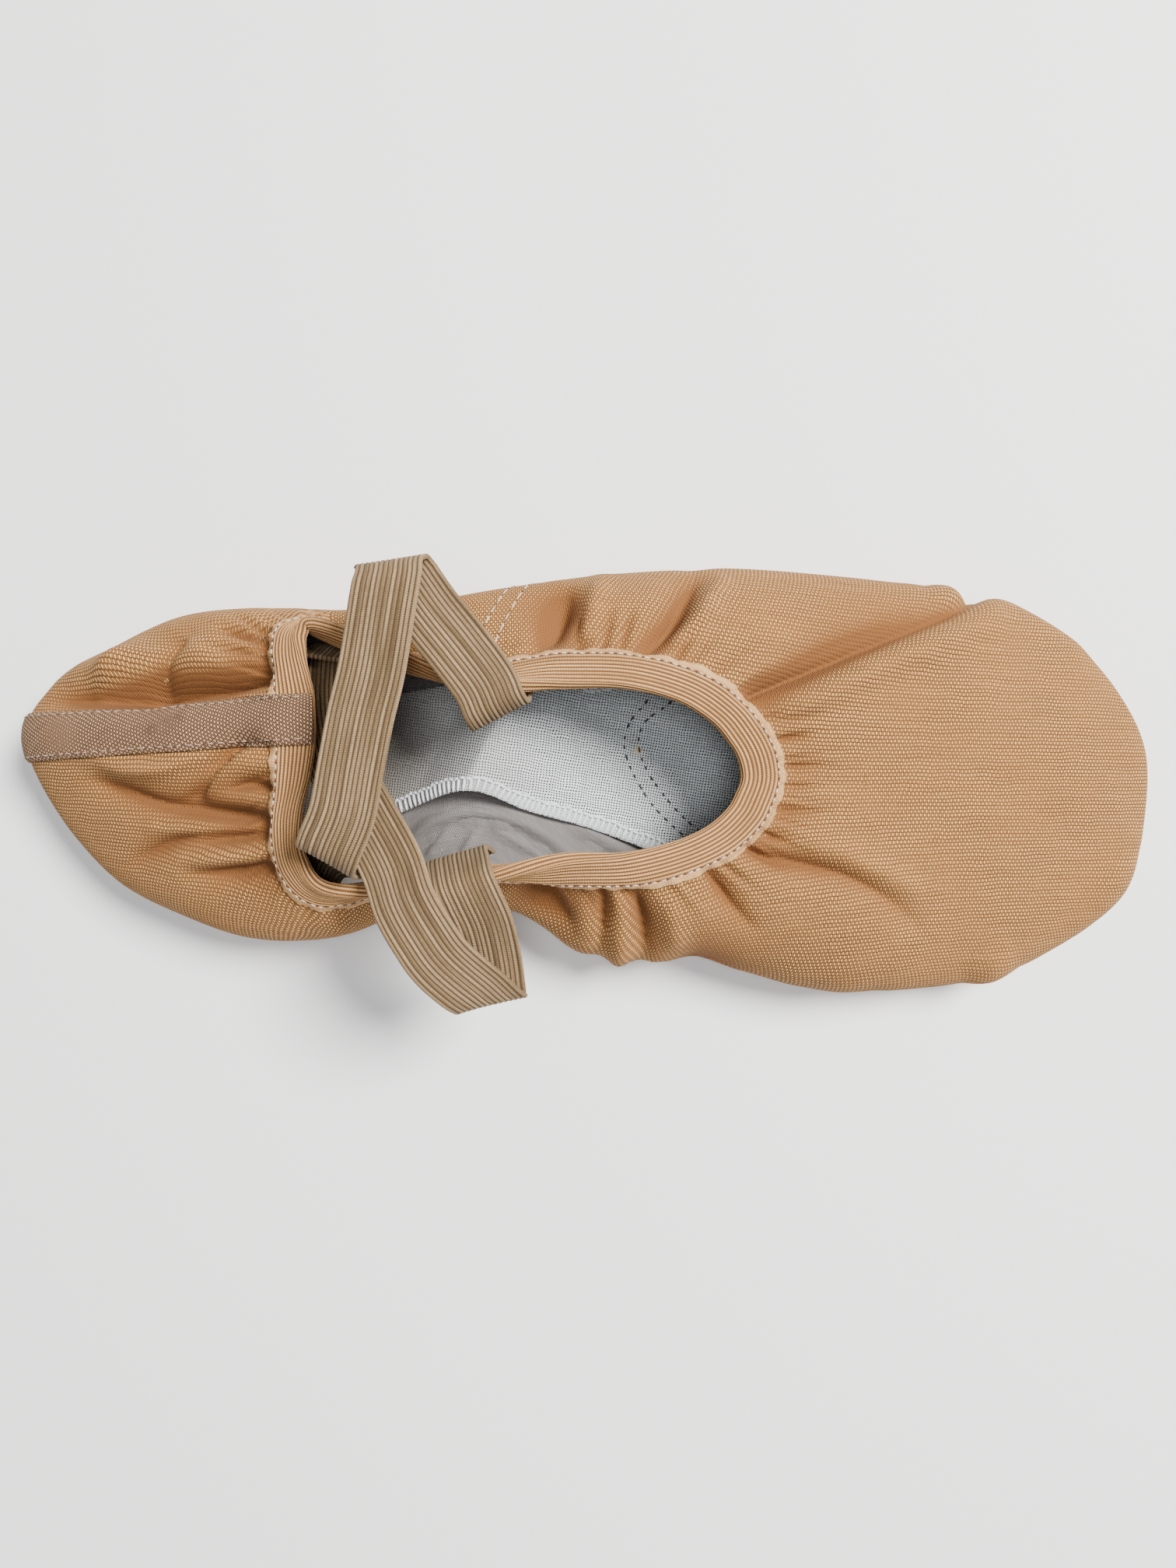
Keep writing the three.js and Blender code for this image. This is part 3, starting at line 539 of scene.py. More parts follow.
def laid_flat(positions, reaches):
    """The cloth laid flat in millimetres: each run goes straight in or out from the outline."""
    order = np.linspace(0, 2, 201)
    lengths = lengths_along(cloth(positions[:, None], order))
    lengths -= lengths[:, 100:101]
    side = loop_point(SIDE, "xy", positions % LOOP)
    out = unit(side - loop_point(EDGE, "xy", positions % LOOP))
    laid = np.stack([np.interp(reaches, order, row) for row in lengths])
    return side[:, None, :] + out[:, None, :] * laid[..., None]


def shell(name, outer_reach, inner_reach, outer_offset, inner_offset, fold=None):
    """A closed wall of cloth between two faces that share the relief; a lining keeps inside it."""
    positions = np.arange(LOOP * SHELL_STEPS) / SHELL_STEPS

    def face(reaches, offset):
        q, r = np.meshgrid(positions, reaches, indexing="ij")
        relief = cloth_relief(q, r)
        away = relief + offset
        if fold is not None:
            away += fold(q, r) - 0.4 * np.abs(relief)
        return relief, off_cloth(q, r, away)

    relief, outer = face(outer_reach, outer_offset)
    bare, inner = face(inner_reach[::-1], inner_offset)
    reaches = np.concatenate([outer_reach, inner_reach[::-1], outer_reach[:1]])
    uv = laid_flat(np.append(positions, LOOP), reaches)
    relief = np.concatenate([relief, np.zeros_like(bare)], 1)
    return make_skin(name, np.concatenate([outer, inner], 1), uv, 1, relief)


# Materials

class Look:
    """A node material with short calls for its nodes."""

    def __init__(self, name, roughness, sheen, specular, sheen_tint=(1, 1, 1)):
        self.material = bpy.data.materials.new(name)
        self.material.use_nodes = True
        self.tree = self.material.node_tree
        self.shader = self.tree.nodes["Principled BSDF"]
        self.put(self.shader.inputs["Roughness"], roughness)
        self.put(self.shader.inputs["Sheen Weight"], sheen)
        self.put(self.shader.inputs["Sheen Tint"], sheen_tint)
        self.put(self.shader.inputs["Specular IOR Level"], specular)

    def put(self, socket, value):
        """Link a socket to another or set its value; a colour is given without its alpha."""
        if isinstance(value, bpy.types.NodeSocket):
            self.tree.links.new(value, socket)
        elif socket.type == "RGBA":
            socket.default_value = (*value, 1)
        else:
            socket.default_value = value

    def node(self, kind, inputs=(), out=0, **settings):
        node = self.tree.nodes.new(kind)
        for key, value in settings.items():
            setattr(node, key, value)
        for key, value in dict(inputs).items():
            self.put(node.inputs[key], value)
        return node.outputs[out]

    def math(self, operation, *values):
        return self.node("ShaderNodeMath", dict(enumerate(values)), operation=operation)

    def plus(self, first, second):
        return self.math("ADD", first, second)

    def less(self, first, second):
        return self.math("SUBTRACT", first, second)

    def times(self, first, second):
        return self.math("MULTIPLY", first, second)

    def sine(self, value, rate):
        return self.math("SINE", self.times(value, rate))

    def bare_noise(self, vector, scale, detail, roughness=0.5):
        return self.node("ShaderNodeTexNoise",
                         {"Vector": vector, "Scale": scale, "Detail": detail, "Roughness": roughness})

    def noise(self, scale, detail, roughness=0.5):
        """Noise in the object's own space, in metres."""
        return self.bare_noise(self.node("ShaderNodeTexCoord", out=3), scale, detail, roughness)

    def streaks(self, u, v, scale, detail=2.0):
        return self.bare_noise(self.node("ShaderNodeCombineXYZ", {0: u, 1: v}), scale, detail)

    def split(self, vector):
        node = self.tree.nodes.new("ShaderNodeSeparateXYZ")
        self.put(node.inputs[0], vector)
        return node.outputs[0], node.outputs[1]

    def uv(self):
        return self.node("ShaderNodeUVMap", uv_map="cloth")

    def drifting(self, turn, scale, detail):
        """The cloth's two directions in millimetres, turned, and how far its yarns stray."""
        flat = self.node("ShaderNodeMapping", {"Vector": self.uv(), "Rotation": (0, 0, turn)})
        drift = self.times(self.less(self.bare_noise(flat, scale, detail), 0.5), YARN_DRIFT)
        return *self.split(flat), drift

    def attribute(self, name):
        return self.node("ShaderNodeAttribute", out=2, attribute_name=name)

    def spread(self, value, low, high, to_low=0.0, to_high=1.0):
        return self.node("ShaderNodeMapRange", {0: value, 1: low, 2: high, 3: to_low, 4: to_high})

    def near(self, place, radius):
        """1 at a place of the shared frame, fading to 0 at the radius; both in metres."""
        here = self.node("ShaderNodeTexCoord", out=3)
        gap = self.node("ShaderNodeVectorMath", {0: here, 1: place}, out=1, operation="DISTANCE")
        return self.spread(gap, radius, radius * 0.3)

    def mix(self, factor, first, second):
        node = self.tree.nodes.new("ShaderNodeMix")
        node.data_type = "RGBA"
        for socket, value in ((0, factor), (6, first), (7, second)):
            self.put(node.inputs[socket], value)
        return node.outputs[2]

    def tinted(self, base, *tints):
        """A base turned to other colours: value, where it starts and ends, share at most, colour."""
        for value, low, high, most, colour in tints:
            base = self.mix(self.spread(value, low, high, 0.0, most), base, colour)
        return base

    def finish(self, colour, height=None, distance=0.0, strength=0.0):
        self.put(self.shader.inputs["Base Color"], colour)
        if height is not None:
            bump = {"Strength": strength, "Distance": distance, "Height": height}
            self.put(self.shader.inputs["Normal"], self.node("ShaderNodeBump", bump))
        return self.material


# How far yarns stray from straight, in millimetres at most
YARN_DRIFT = 0.9


def canvas_look(name, bead, between, gap, crease_shade, pitch, turn=0.0, soil=()):
    """A plain weave of thick yarns, its warp the bright beads; pitch is a yarn's along and across."""
    look = Look(name, roughness=0.9, sheen=0.06, specular=0.12, sheen_tint=(1, 0.7, 0.45))
    u, v, drift = look.drifting(turn, 0.14, 4.0)
    u = look.plus(u, drift)
    v = look.less(v, drift)
    wave = look.times(look.sine(u, math.pi / pitch[0]), look.sine(v, math.pi / pitch[1]))
    warp = look.math("POWER", look.math("MAXIMUM", wave, 0.0), 0.7)
    weft = look.math("POWER", look.math("MAXIMUM", look.times(wave, -1.0), 0.0), 0.7)
    streak = look.streaks(look.times(u, 0.06), look.times(v, 1.3), 1.0)
    patchy = look.noise(70, 4.0)
    fine = look.noise(1800, 2.0)
    # Crease troughs, by their relief, turn toward the last colour: painted shade in the folds
    base = look.tinted(gap, (weft, 0.1, 0.9, 1.0, between), (warp, 0.12, 0.8, 1.0, bead),
                       (patchy, 0.35, 0.68, 0.3, between), (streak, 0.35, 0.7, 0.22, gap),
                       (fine, 0.4, 0.75, 0.3, gap), (look.attribute("relief"), -0.15, -2.6, 0.95, crease_shade))
    for place, radius, colour in soil:
        stain = look.times(look.near(place, radius), look.spread(fine, 0.3, 0.6, 0.25, 0.8))
        base = look.mix(stain, base, colour)
    look.put(look.shader.inputs["Roughness"], look.spread(patchy, 0.3, 0.7, 0.86, 0.96))
    height = look.plus(look.plus(warp, look.times(weft, 0.45)), look.times(fine, 0.3))
    return look.finish(base, height, 0.00021, 1.0)


def rib_look(name, ridge, groove, ridge_highlight, ribs_from, beads=0.52, uneven=0.35):
    """Ribbed elastic: uv runs in millimetres along and across the tape."""
    look = Look(name, roughness=0.8, sheen=0.08, specular=0.15, sheen_tint=(1, 0.85, 0.65))
    u, v = look.split(look.uv())
    bead = look.times(look.sine(u, 2 * math.pi / beads), look.sine(v, math.pi * ribs_from))
    fuzz = look.noise(1700, 3.0)
    rib_tone = look.streaks(look.times(u, 0.03), v, 1.1, 1.0)
    depth = look.attribute("relief")
    # Colour follows rib relief: painted shade in grooves, and a painted highlight on ridge tops where the
    # rib tone is high
    base = look.tinted(groove, (depth, -0.9, 0.7, 1.0, ridge))
    lit = look.times(look.spread(rib_tone, 0.45, 0.7), look.spread(depth, 0.0, 1.0))
    base = look.tinted(look.mix(lit, base, ridge_highlight), (rib_tone, 0.5, 0.25, uneven, groove),
                       (bead, 0.6, -1.0, 0.3, groove), (look.noise(80, 3.0), 0.4, 0.7, 0.2, groove),
                       (fuzz, 0.4, 0.75, 0.25, groove))
    height = look.plus(look.times(bead, 0.45), look.times(fuzz, 0.8))
    return look.finish(base, height, 0.00011, 0.9)


def cotton_look(name, light, gap, pitch, depth, turn=0.0, spots=(), rim=None):
    """Open plain weave of fine threads with dark holes between them."""
    look = Look(name, roughness=0.95, sheen=0.05, specular=0.1)
    u, v, drift = look.drifting(turn, 0.3, 2.0)
    u = look.plus(u, drift)
    v = look.plus(v, drift)
    warp = look.math("ABSOLUTE", look.sine(u, math.pi / pitch))
    weft = look.math("ABSOLUTE", look.sine(v, math.pi / pitch))
    slub = look.streaks(look.times(u, 0.08), v, 1.6)
    slub_other = look.streaks(u, look.times(v, 0.08), 1.6)
    hole = look.spread(look.times(look.less(1.0, warp), look.less(1.0, weft)), 0.03, 0.32)

    def dimmed(share):
        return tuple(share * part for part in light)

    tone = look.tinted(light, (slub, 0.35, 0.65, 1.0, dimmed(0.74)),
                       (slub_other, 0.4, 0.65, 0.8, dimmed(0.76)),
                       (look.noise(60, 3.0), 0.4, 0.7, 0.3, dimmed(0.86)))
    base = look.mix(look.times(hole, depth), tone, gap)
    if rim is not None:
        base = look.tinted(base, (look.attribute("relief"), -3.0, -2.5, 0.85, rim))
    # Spots over the weave: a real fleck, and painted shade where insole and lining lie in shade
    for place, radius, colour in spots:
        base = look.mix(look.near(place, radius), base, colour)
    height = look.less(look.math("MAXIMUM", warp, weft), look.times(hole, 0.8))
    return look.finish(base, height, 0.00017, 0.8)


def thread_look(name, light, dark):
    look = Look(name, roughness=0.8, sheen=0.2, specular=0.3)
    fuzz = look.noise(2600, 3.0)
    return look.finish(look.tinted(light, (fuzz, 0.3, 0.7, 1.0, dark)), fuzz, 0.00006, 0.6)


def suede_look(name, light, dark):
    look = Look(name, roughness=0.97, sheen=0.35, specular=0.15, sheen_tint=(1, 0.88, 0.75))
    nap = look.noise(2200, 5.0, 0.7)
    base = look.tinted(light, (look.noise(60, 4.0), 0.35, 0.65, 1.0, dark), (nap, 0.4, 0.7, 0.4, dark))
    return look.finish(base, nap, 0.0002, 0.8)


def on_strip(x, y):
    """The place of the frame, in metres, one millimetre above a point of the heel seam."""
    run = cloth(0.0, np.linspace(0, 1, 201))
    level = np.interp(-x, -run[:, 0], run[:, 2]) + 1.0
    return tuple((np.array([x, y, level]) - ORIGIN) * METRES)


# Colours of the bead, between beads, the gap, and the painted shade that darkens crease troughs
CANVAS = ((0.9, 0.535, 0.215), (0.36, 0.158, 0.046), (0.06, 0.021, 0.006), (0.19, 0.075, 0.024))
TAPE = ((0.74, 0.48, 0.29), (0.21, 0.11, 0.055), (0.025, 0.013, 0.008), (0.2, 0.085, 0.035))
# Soiled places on the back strip: x, y, radius, then colour
STRIP_SOIL = [(38, 10.5, 4.0, (0.13, 0.08, 0.05)), (41, 12.0, 2.2, (0.07, 0.04, 0.025)),
              (34.5, 9.0, 2.4, (0.1, 0.06, 0.035)), (13, 8.0, 6.0, (0.2, 0.11, 0.06))]
SOIL = [(on_strip(x, y), radius * METRES, colour) for x, y, radius, colour in STRIP_SOIL]
# Marks on insole and lining, in metres: the tan fleck on the insole's crest, painted shade over
# the insole's grey rear half, and painted shade over the heel inside
FLECK = ((0.0944, 0.0054, 0.005), 0.0013, (0.62, 0.5, 0.33))
INSOLE_REAR_SHADE = ((0.016, 0.0, 0.006), 0.06, (0.22, 0.195, 0.17))
HEEL_SHADE = ((0.006, -0.002, 0.012), 0.034, (0.1, 0.08, 0.065))

canvas = canvas_look("canvas_weave", *CANVAS, (0.42, 0.73))
tape = canvas_look("tape_weave", *TAPE, (0.42, 0.62), turn=0.55, soil=SOIL)
# Ribbed elastics: ridge; groove, painted shade in the grooves; pale, painted highlight on ridge tops
binding_elastic = rib_look("binding_ribs", (0.62, 0.345, 0.14), (0.11, 0.045, 0.015),
                           (0.72, 0.435, 0.205), 1.22)
strap_elastic = rib_look("strap_ribs", (0.235, 0.155, 0.08), (0.04, 0.022, 0.009),
                         (0.39, 0.275, 0.155), 1.0, beads=0.45, uneven=0.6)
# The white lining is painted a dim grey: painted shade for its place inside the slipper
shaded_lining_cotton = cotton_look("shaded_lining_cotton", (0.26, 0.24, 0.23), (0.11, 0.1, 0.1), pitch=0.32, depth=0.5,
                            spots=[HEEL_SHADE])
insole_linen = cotton_look("insole_linen", (0.76, 0.805, 0.815), (0.03, 0.035, 0.04), pitch=0.6, depth=1.0,
                           turn=0.17, spots=[FLECK, INSOLE_REAR_SHADE, HEEL_SHADE], rim=(0.48, 0.51, 0.53))
white_thread = thread_look("white_thread", (0.76, 0.67, 0.6), (0.42, 0.33, 0.27))
overlock_thread = thread_look("overlock_thread", (0.8, 0.82, 0.84), (0.48, 0.5, 0.52))
peach_thread = thread_look("peach_thread", (0.5, 0.36, 0.28), (0.24, 0.15, 0.1))
dark_thread = thread_look("shadowed_thread", (0.05, 0.045, 0.045), (0.02, 0.018, 0.018))
# Dark threads sunk between stitches: painted shade in the stitch holes
hole_shade_thread = thread_look("stitch_hole_shade", (0.12, 0.05, 0.025), (0.06, 0.025, 0.012))
suede = suede_look("suede_nap", (0.56, 0.36, 0.21), (0.36, 0.2, 0.1))


# Canvas and lining

SHELL_STEPS = 20


def reach_rows(above, below):
    """Reaches in even steps from the collar to the outline, and on to the sole opening."""
    return np.concatenate([np.linspace(0, 1, above + 1), 1 + np.linspace(0, 1, below + 1)[1:]])


upper = shell("canvas_upper", reach_rows(72, 24), reach_rows(36, 14), 0.0, -0.6)
finish_piece(upper, canvas, "canvas", "upper")

# Loose folds of the lining, seen beside the insole: width, then x, y, height
LINING_FOLDS = [
    (2.2, [(84, -17, 0.8), (90, -11.5, 2.6), (98, -8.6, 3.4), (107, -9.8, 3.8), (114, -13.5, 3.6),
           (118.5, -17.5, 2.4), (121, -21, 0.8)]),
    (1.2, [(104, -12.5, 0.8), (109, -15.5, 2.2), (113.5, -19, 1.6), (115, -22, 0.4)]),
    (1.1, [(95.5, -11.5, 0.6), (93, -14.5, 1.8), (90, -18, 1.0)]),
    (0.9, [(101, -12, 0.5), (99, -15, 1.6), (97, -19, 0.9)]),
    (1.8, [(121, -12, 0.8), (126, -14, 2.0), (132, -17, 2.0), (138, -20, 0.8)]),
]


def lining_fold(position, reach):
    x, y, _ = np.moveaxis(cloth(position, reach), -1, 0)
    fold = sum(polyline_depth(x, y, width, stops) for width, stops in LINING_FOLDS)
    hidden = smoothstep(reach, 1.15, 1.4) * (1 - smoothstep(reach, 1.9, 2.0))
    return -np.maximum(fold, 0) * hidden


lining = shell("lining", reach_rows(24, 16), reach_rows(36, 60), -0.75, -1.2, lining_fold)
finish_piece(lining, shaded_lining_cotton, "cotton")


# Collar binding: how far its two skins lie off the cloth, and how wide its smooth lip is

ON_CLOTH = 0.08
TAPE_FACE = 0.72
LIP = 1.9
BINDING_RIBS = 8
LIP_EDGE = BINDING_WIDTH - LIP


def rib(turns):
    """From -1 in the groove to 1 on the ridge, one rib a turn."""
    return -np.cos(2 * math.pi * turns)


def binding_section():
    """Distance below the edge, offset from the outer face, and rib relief along the section."""
    pitch = LIP_EDGE / BINDING_RIBS
    inner_near = -WALL - ON_CLOTH
    inner_far = -WALL - TAPE_FACE
    middle = (ON_CLOTH + inner_near) / 2
    lip = np.linspace(BINDING_WIDTH, LIP_EDGE, 11)
    share = (BINDING_WIDTH - lip) / LIP
    lip_face = TAPE_FACE - 0.3 * (1 - share) ** 2 - 0.22 * np.exp(-((share - 0.93) / 0.14) ** 2)
    outside = np.arange(1, BINDING_RIBS * 7 + 1) / 7
    turn = np.arange(1, 28)
    fold = math.pi * turn / 28
    sunk = 0.1 - 0.1 * rib(turn / 7)
    inside = np.linspace(0, BINDING_WIDTH, 64)
    under = math.pi * np.arange(1, 5) / 5
    # Relief below 0 takes the groove colour, painted shade: a dark line where the lip meets the ribs, and
    # the faces against the cloth
    blocks = [
        (lip, lip_face, 0.6 - 1.6 * np.exp(-((share - 0.95) / 0.1) ** 2)),
        (LIP_EDGE - outside * pitch, TAPE_FACE - 0.13 + 0.13 * rib(outside), rib(outside)),
        (-(TAPE_FACE - sunk) * np.sin(fold), middle + ((TAPE_FACE - inner_far) / 2 - sunk) * np.cos(fold),
         rib(turn / 7)),
        (inside, inner_far + 0.1 - 0.1 * rib(inside / pitch), rib(inside / pitch)),
        (np.linspace(BINDING_WIDTH, 0, 5), inner_near, -1),
        (-ON_CLOTH * np.sin(under), middle - (ON_CLOTH - inner_near) / 2 * np.cos(under), -1),
        (np.linspace(0, BINDING_WIDTH, 5)[:-1], ON_CLOTH, -1),
    ]
    return np.concatenate([np.stack(np.broadcast_arrays(*block), -1) for block in blocks])


def make_binding():
    steps = 560
    section = binding_section()
    below, offset, relief = section.T
    q = np.repeat((np.arange(steps) * LOOP / steps)[:, None], len(section), 1)
    wave = 0.1 * np.sin(q * 9.1) + 0.05 * np.sin(q * 23.7 + 1)
    distance = below + wave * smoothstep(below, LIP_EDGE, BINDING_WIDTH)
    points = collar_place(q, distance, offset + cloth_relief(q, reach_at(q, distance)))
    middle = points.mean(axis=1)
    lengths = lengths_along(section[:, :2])
    uv = crossed(lengths_along(np.vstack([middle, middle[:1]])), np.append(lengths, lengths[-1] + 1))
    finish_piece(make_skin("binding", points, uv, 1, relief), binding_elastic, "binding_elastic",
                 "collar_binding")


make_binding()


# Straps

TUCKED_ROWS = 2
STEPS_PER_ROW = 12
STRAP_RIBS = 14
RIB_PROFILE = (-1, 0.3, 1, 0.85, 1, 0.3)


def strap_stops(rows):
    """The middle of the strap at each row, in millimetres, with its heading in radians."""
    on_inside = -(WALL + BINDING_ROOM + BINDING_THICKNESS + CLEARANCE + STRAP_THICKNESS / 2)
    stops = rows * (FOOT, HALF_BALL, COLLAR_HEIGHT, math.pi / 180)
    for index in (*range(TUCKED_ROWS), *range(-TUCKED_ROWS, 0)):
        around_place, depth, inset, _ = rows[index]
        place = np.array([around_place, depth * BINDING_WIDTH, on_inside - inset * STRAP_WIDTH])
        stops[index, :3] = collar_place(*place)
    return stops


def make_strap(name, rows, node):
    stops = strap_stops(rows)
    last = len(rows) - 1
    place = np.arange(last * STEPS_PER_ROW + 1) / STEPS_PER_ROW
    centre, heading = np.split(curve_at(stops, place), [3], axis=1)
    ahead, behind = (curve_at(stops, np.clip(place + step, 0, last))[:, :3] for step in (0.05, -0.05))
    across = np.concatenate([np.cos(heading), np.sin(heading), np.zeros_like(heading)], 1)
    face = np.cross(across, unit(ahead - behind))
    half = across * (STRAP_WIDTH / 2) / np.linalg.norm(face, axis=1, keepdims=True)
    face = unit(face)
    steps = np.arange(STRAP_RIBS * len(RIB_PROFILE) + 1)
    share = np.linspace(-1, 1, len(steps))
    wave = np.array(RIB_PROFILE)[steps % len(RIB_PROFILE)]
    edge = np.clip((1 - np.abs(share)) * STRAP_WIDTH / 2 / 0.5, 0, 1)
    thick = STRAP_THICKNESS / 2 * (0.35 + 0.65 * np.sqrt(1 - (1 - edge) ** 2))
    top = thick + 0.12 * wave * edge - 0.12
    sides = np.concatenate([share, share[::-1]])
    levels = np.concatenate([top, -top[::-1]])
    relief = np.where(np.abs(sides) > 0.96, 1.2, np.concatenate([wave, wave[::-1]]))
    points = centre[:, None] + half[:, None] * sides[:, None] + face[:, None] * levels[:, None]
    length = lengths_along(centre)
    uv = crossed(length, np.append(sides, sides[0]) * STRAP_WIDTH / 2)
    finish_piece(make_skin(name, points, uv, 0, relief), strap_elastic, "strap_elastic", node)
    return centre, half, face, length


make_strap("strap_top", STRAP_OVER, "strap_over")
lower_strap = make_strap("strap_lower", STRAP_UNDER, "strap_under")


# Insole

def insole_level(x, y):
    """Underside of the insole: it humps over the arch, with a crest that runs askew."""
    level = PATCH_THICKNESS + 2 * CLEARANCE + WALL + INSOLE_PLAY + ground(x)
    ahead = x - (99 + 0.52 * (y + 0.9))
    share = np.clip(1 - np.abs(ahead) / np.where(ahead > 0, 25, 11), 0, 1)
    rumple = 0.16 * np.sin(x / 4.1 + y / 7) * np.sin(y / 3.7 + 0.6)
    return level + 1.1 * INSOLE_RIDGE * share ** 1.25 + rumple


def make_insole():
    place = np.arange((len(INSOLE) - 1) * 18 + 1) / 18
    p, s = np.meshgrid(place, np.linspace(0, 1, 61), indexing="ij")
    x, left, right = np.moveaxis(curve_at(INSOLE * (FOOT, HALF_BALL, HALF_BALL), p), -1, 0)
    y = right + (left - right) * s
    low = np.stack([x, y, insole_level(x, y)], -1)
    top = low + UP * INSOLE_THICKNESS
    points = np.concatenate([top, low[:, ::-1]], 1)
    gap = np.minimum(s * (left - right), 6)
    relief = np.concatenate([-gap, -gap[:, ::-1]], 1)
    item = make_skin("insole_board", points, flat_uv(points), 0, relief)
    edit_mesh(item, lambda body: bmesh.ops.remove_doubles(body, verts=body.verts, dist=1e-6))
    finish_piece(item, insole_linen, "cotton", "insole")
    return np.concatenate([top[:, 0], top[-2:0:-1, -1]])


insole_rim = make_insole()


# Back strip: how far it lies off the smooth cloth, on the canvas and on the binding

ON_CANVAS = CLEARANCE - 0.15
ON_BINDING = TAPE_FACE + 0.12
OFF_BINDING = BINDING_WIDTH + 0.6


def beside_seam(aside, reach):
    """The position around the slipper at a distance aside from the heel seam."""
    return aside / np.linalg.norm(cloth(0.5, reach) - cloth(-0.5, reach), axis=-1)


def make_back_strip():
    over = np.concatenate([np.linspace(-ON_BINDING, 0, 5), np.linspace(0, BINDING_WIDTH, 15)[1:]])
    steps = np.arange(121)
    start = reach_at(0.0, OFF_BINDING)
    reaches = np.concatenate([reach_at(0.0, over), start + (1.45 - start) * steps / 120])[:, None]
    distance = np.concatenate([over, np.zeros(len(steps))])[:, None]
    drop = np.concatenate([np.zeros(len(over)), smoothstep(steps / 6.0, 0, 1)])[:, None]
    share = np.linspace(-1, 1, 33)
    q, r = np.broadcast_arrays(beside_seam(share * STRIP_WIDTH / 2, reaches), reaches)
    lift = ON_BINDING + (ON_CANVAS - ON_BINDING) * drop + cloth_relief(q % LOOP, r)
    rounding = 0.35 * np.exp(-((1 - np.abs(share)) * STRIP_WIDTH / 2 / 0.5) ** 2)
    top, low = (off_cloth(q, r, lift + extra) + past_edge(q, distance)
                for extra in (STRIP_THICKNESS - rounding, 0.0))
    sides = np.concatenate([share, share[::-1], share[:1]]) * STRIP_WIDTH / 2
    points = np.concatenate([top, low[:, ::-1]], 1)
    item = make_skin("seam_tape", points, crossed(lengths_along(top[:, 16]), sides), 0, 0)
    finish_piece(item, tape, "seam_tape", "back_seam_strip")


make_back_strip()


# Sole patches

def make_patch(name, opening, node):
    start = opening[0] - PATCH_MARGIN
    end = opening[1] + PATCH_MARGIN
    x = start + (end - start) * (1 - np.cos(np.linspace(0, math.pi, 97))) / 2
    half = opening_half(opening, x, PATCH_MARGIN)
    half[0] = half[-1] = 0.02
    station = np.linspace(0, LAST, 600)
    middle = np.interp(x, loop_value(SIDE["base"], station), loop_value(SIDE["middle"], station))
    x, half, middle = x[:, None], half[:, None], middle[:, None]
    share = np.linspace(-1, 1, 41)
    soft = 1 - np.exp(-((1 - np.abs(share)) * half / 0.6))
    rises = (0.55 + 0.45 * soft, 0.35 * (1 - soft))
    levels = [ground(x) + PATCH_THICKNESS * rise for rise in rises]
    top, low = (np.stack(np.broadcast_arrays(x, middle + share * half, level), -1) for level in levels)
    points = np.concatenate([top, low[:, ::-1]], 1)
    finish_piece(make_skin(name, points, flat_uv(points), 0), suede, "suede", node)


make_patch("front_suede", FRONT_OPENING, "sole_patch_front")
make_patch("heel_suede", HEEL_OPENING, "sole_patch_heel")


# Stitches

def capsule(sides=8, rings=5):
    """Unit thread along X from -0.5 to 0.5, radius 1 across."""
    angle = math.pi * np.arange(rings + 1)[:, None] / rings
    radius = np.maximum(np.maximum(np.sin(angle), 0) ** 0.5, 0.02)
    turn = np.arange(sides) * 2 * math.pi / sides
    axes = (-0.5 * np.cos(angle), radius * np.cos(turn), radius * np.sin(turn))
    return np.stack(np.broadcast_arrays(*axes), -1)


def threads(name, pieces, radius, look):
    """Threads from start to end, bowed up by a height along the given normal."""
    shape = capsule()
    rings, sides = shape.shape[:2]
    template, faces, _ = grid(shape, np.zeros((rings, sides + 1, 2)), 0)
    ends = [np.arange(sides)[::-1], np.arange(sides) + (rings - 1) * sides]
    x, y, z = (template[:, axis:axis + 1] for axis in range(3))
    all_points, quads, caps = [], [], []
    for index, (start, end, normal, bow) in enumerate(pieces):
        length = np.linalg.norm(end - start)
        run = (end - start) / length
        up = unit(normal - run * (normal @ run))
        share = x + 0.5
        all_points.append(start + run * (share * length) + np.cross(run, up) * y * radius
                          + up * (z * radius + bow * np.sin(math.pi * share)))
        base = index * len(template)
        quads += (faces + base).tolist()
        caps += [(cap + base).tolist() for cap in ends]
    item = add_mesh(name, np.concatenate(all_points), quads + caps)
    edit_mesh(item, lambda body: bmesh.ops.recalc_face_normals(body, faces=body.faces))
    finish_piece(item, look, "thread")


def stitch_row(points, normals, pitch, cover, bow, uneven=0.0, shift=0.0):
    """Stitches of one pitch along a line of points, each covering part of its pitch."""
    normals = np.broadcast_to(normals, points.shape)
    run = lengths_along(points)
    count = int(run[-1] / pitch)
    pieces = []
    for index in range(count):
        middle = index + 0.5 + shift + uneven * 0.4 * math.sin(index * 2.7)
        reach = cover / 2 * (1 + uneven * math.sin(index * 1.9 + 1))
        low, high = ((middle + side * reach) * run[-1] / count for side in (-1, 1))
        pieces.append((line_at(points, run, low), line_at(points, run, high),
                       line_at(normals, run, (low + high) / 2), bow))
    return pieces


def sew(name, rows, pitch, cover, uneven, radius, look, hole_cover, hole_radius, sunk=0.0, hidden=()):
    """Stitches along rows of points and normals; holes between them, sunk dark threads as painted shade,
    but none in hidden rows.
    """
    stitches, holes = [], []
    for points, normals in (*rows, *hidden):
        stitches += stitch_row(points, normals, pitch, cover, 0.1, uneven)
    for points, normals in rows:
        holes += stitch_row(points - normals * sunk, normals, pitch, hole_cover, 0.0, shift=0.5)
    threads(name + "_stitches", stitches, radius, look)
    threads(name + "_holes", holes, hole_radius, hole_shade_thread)


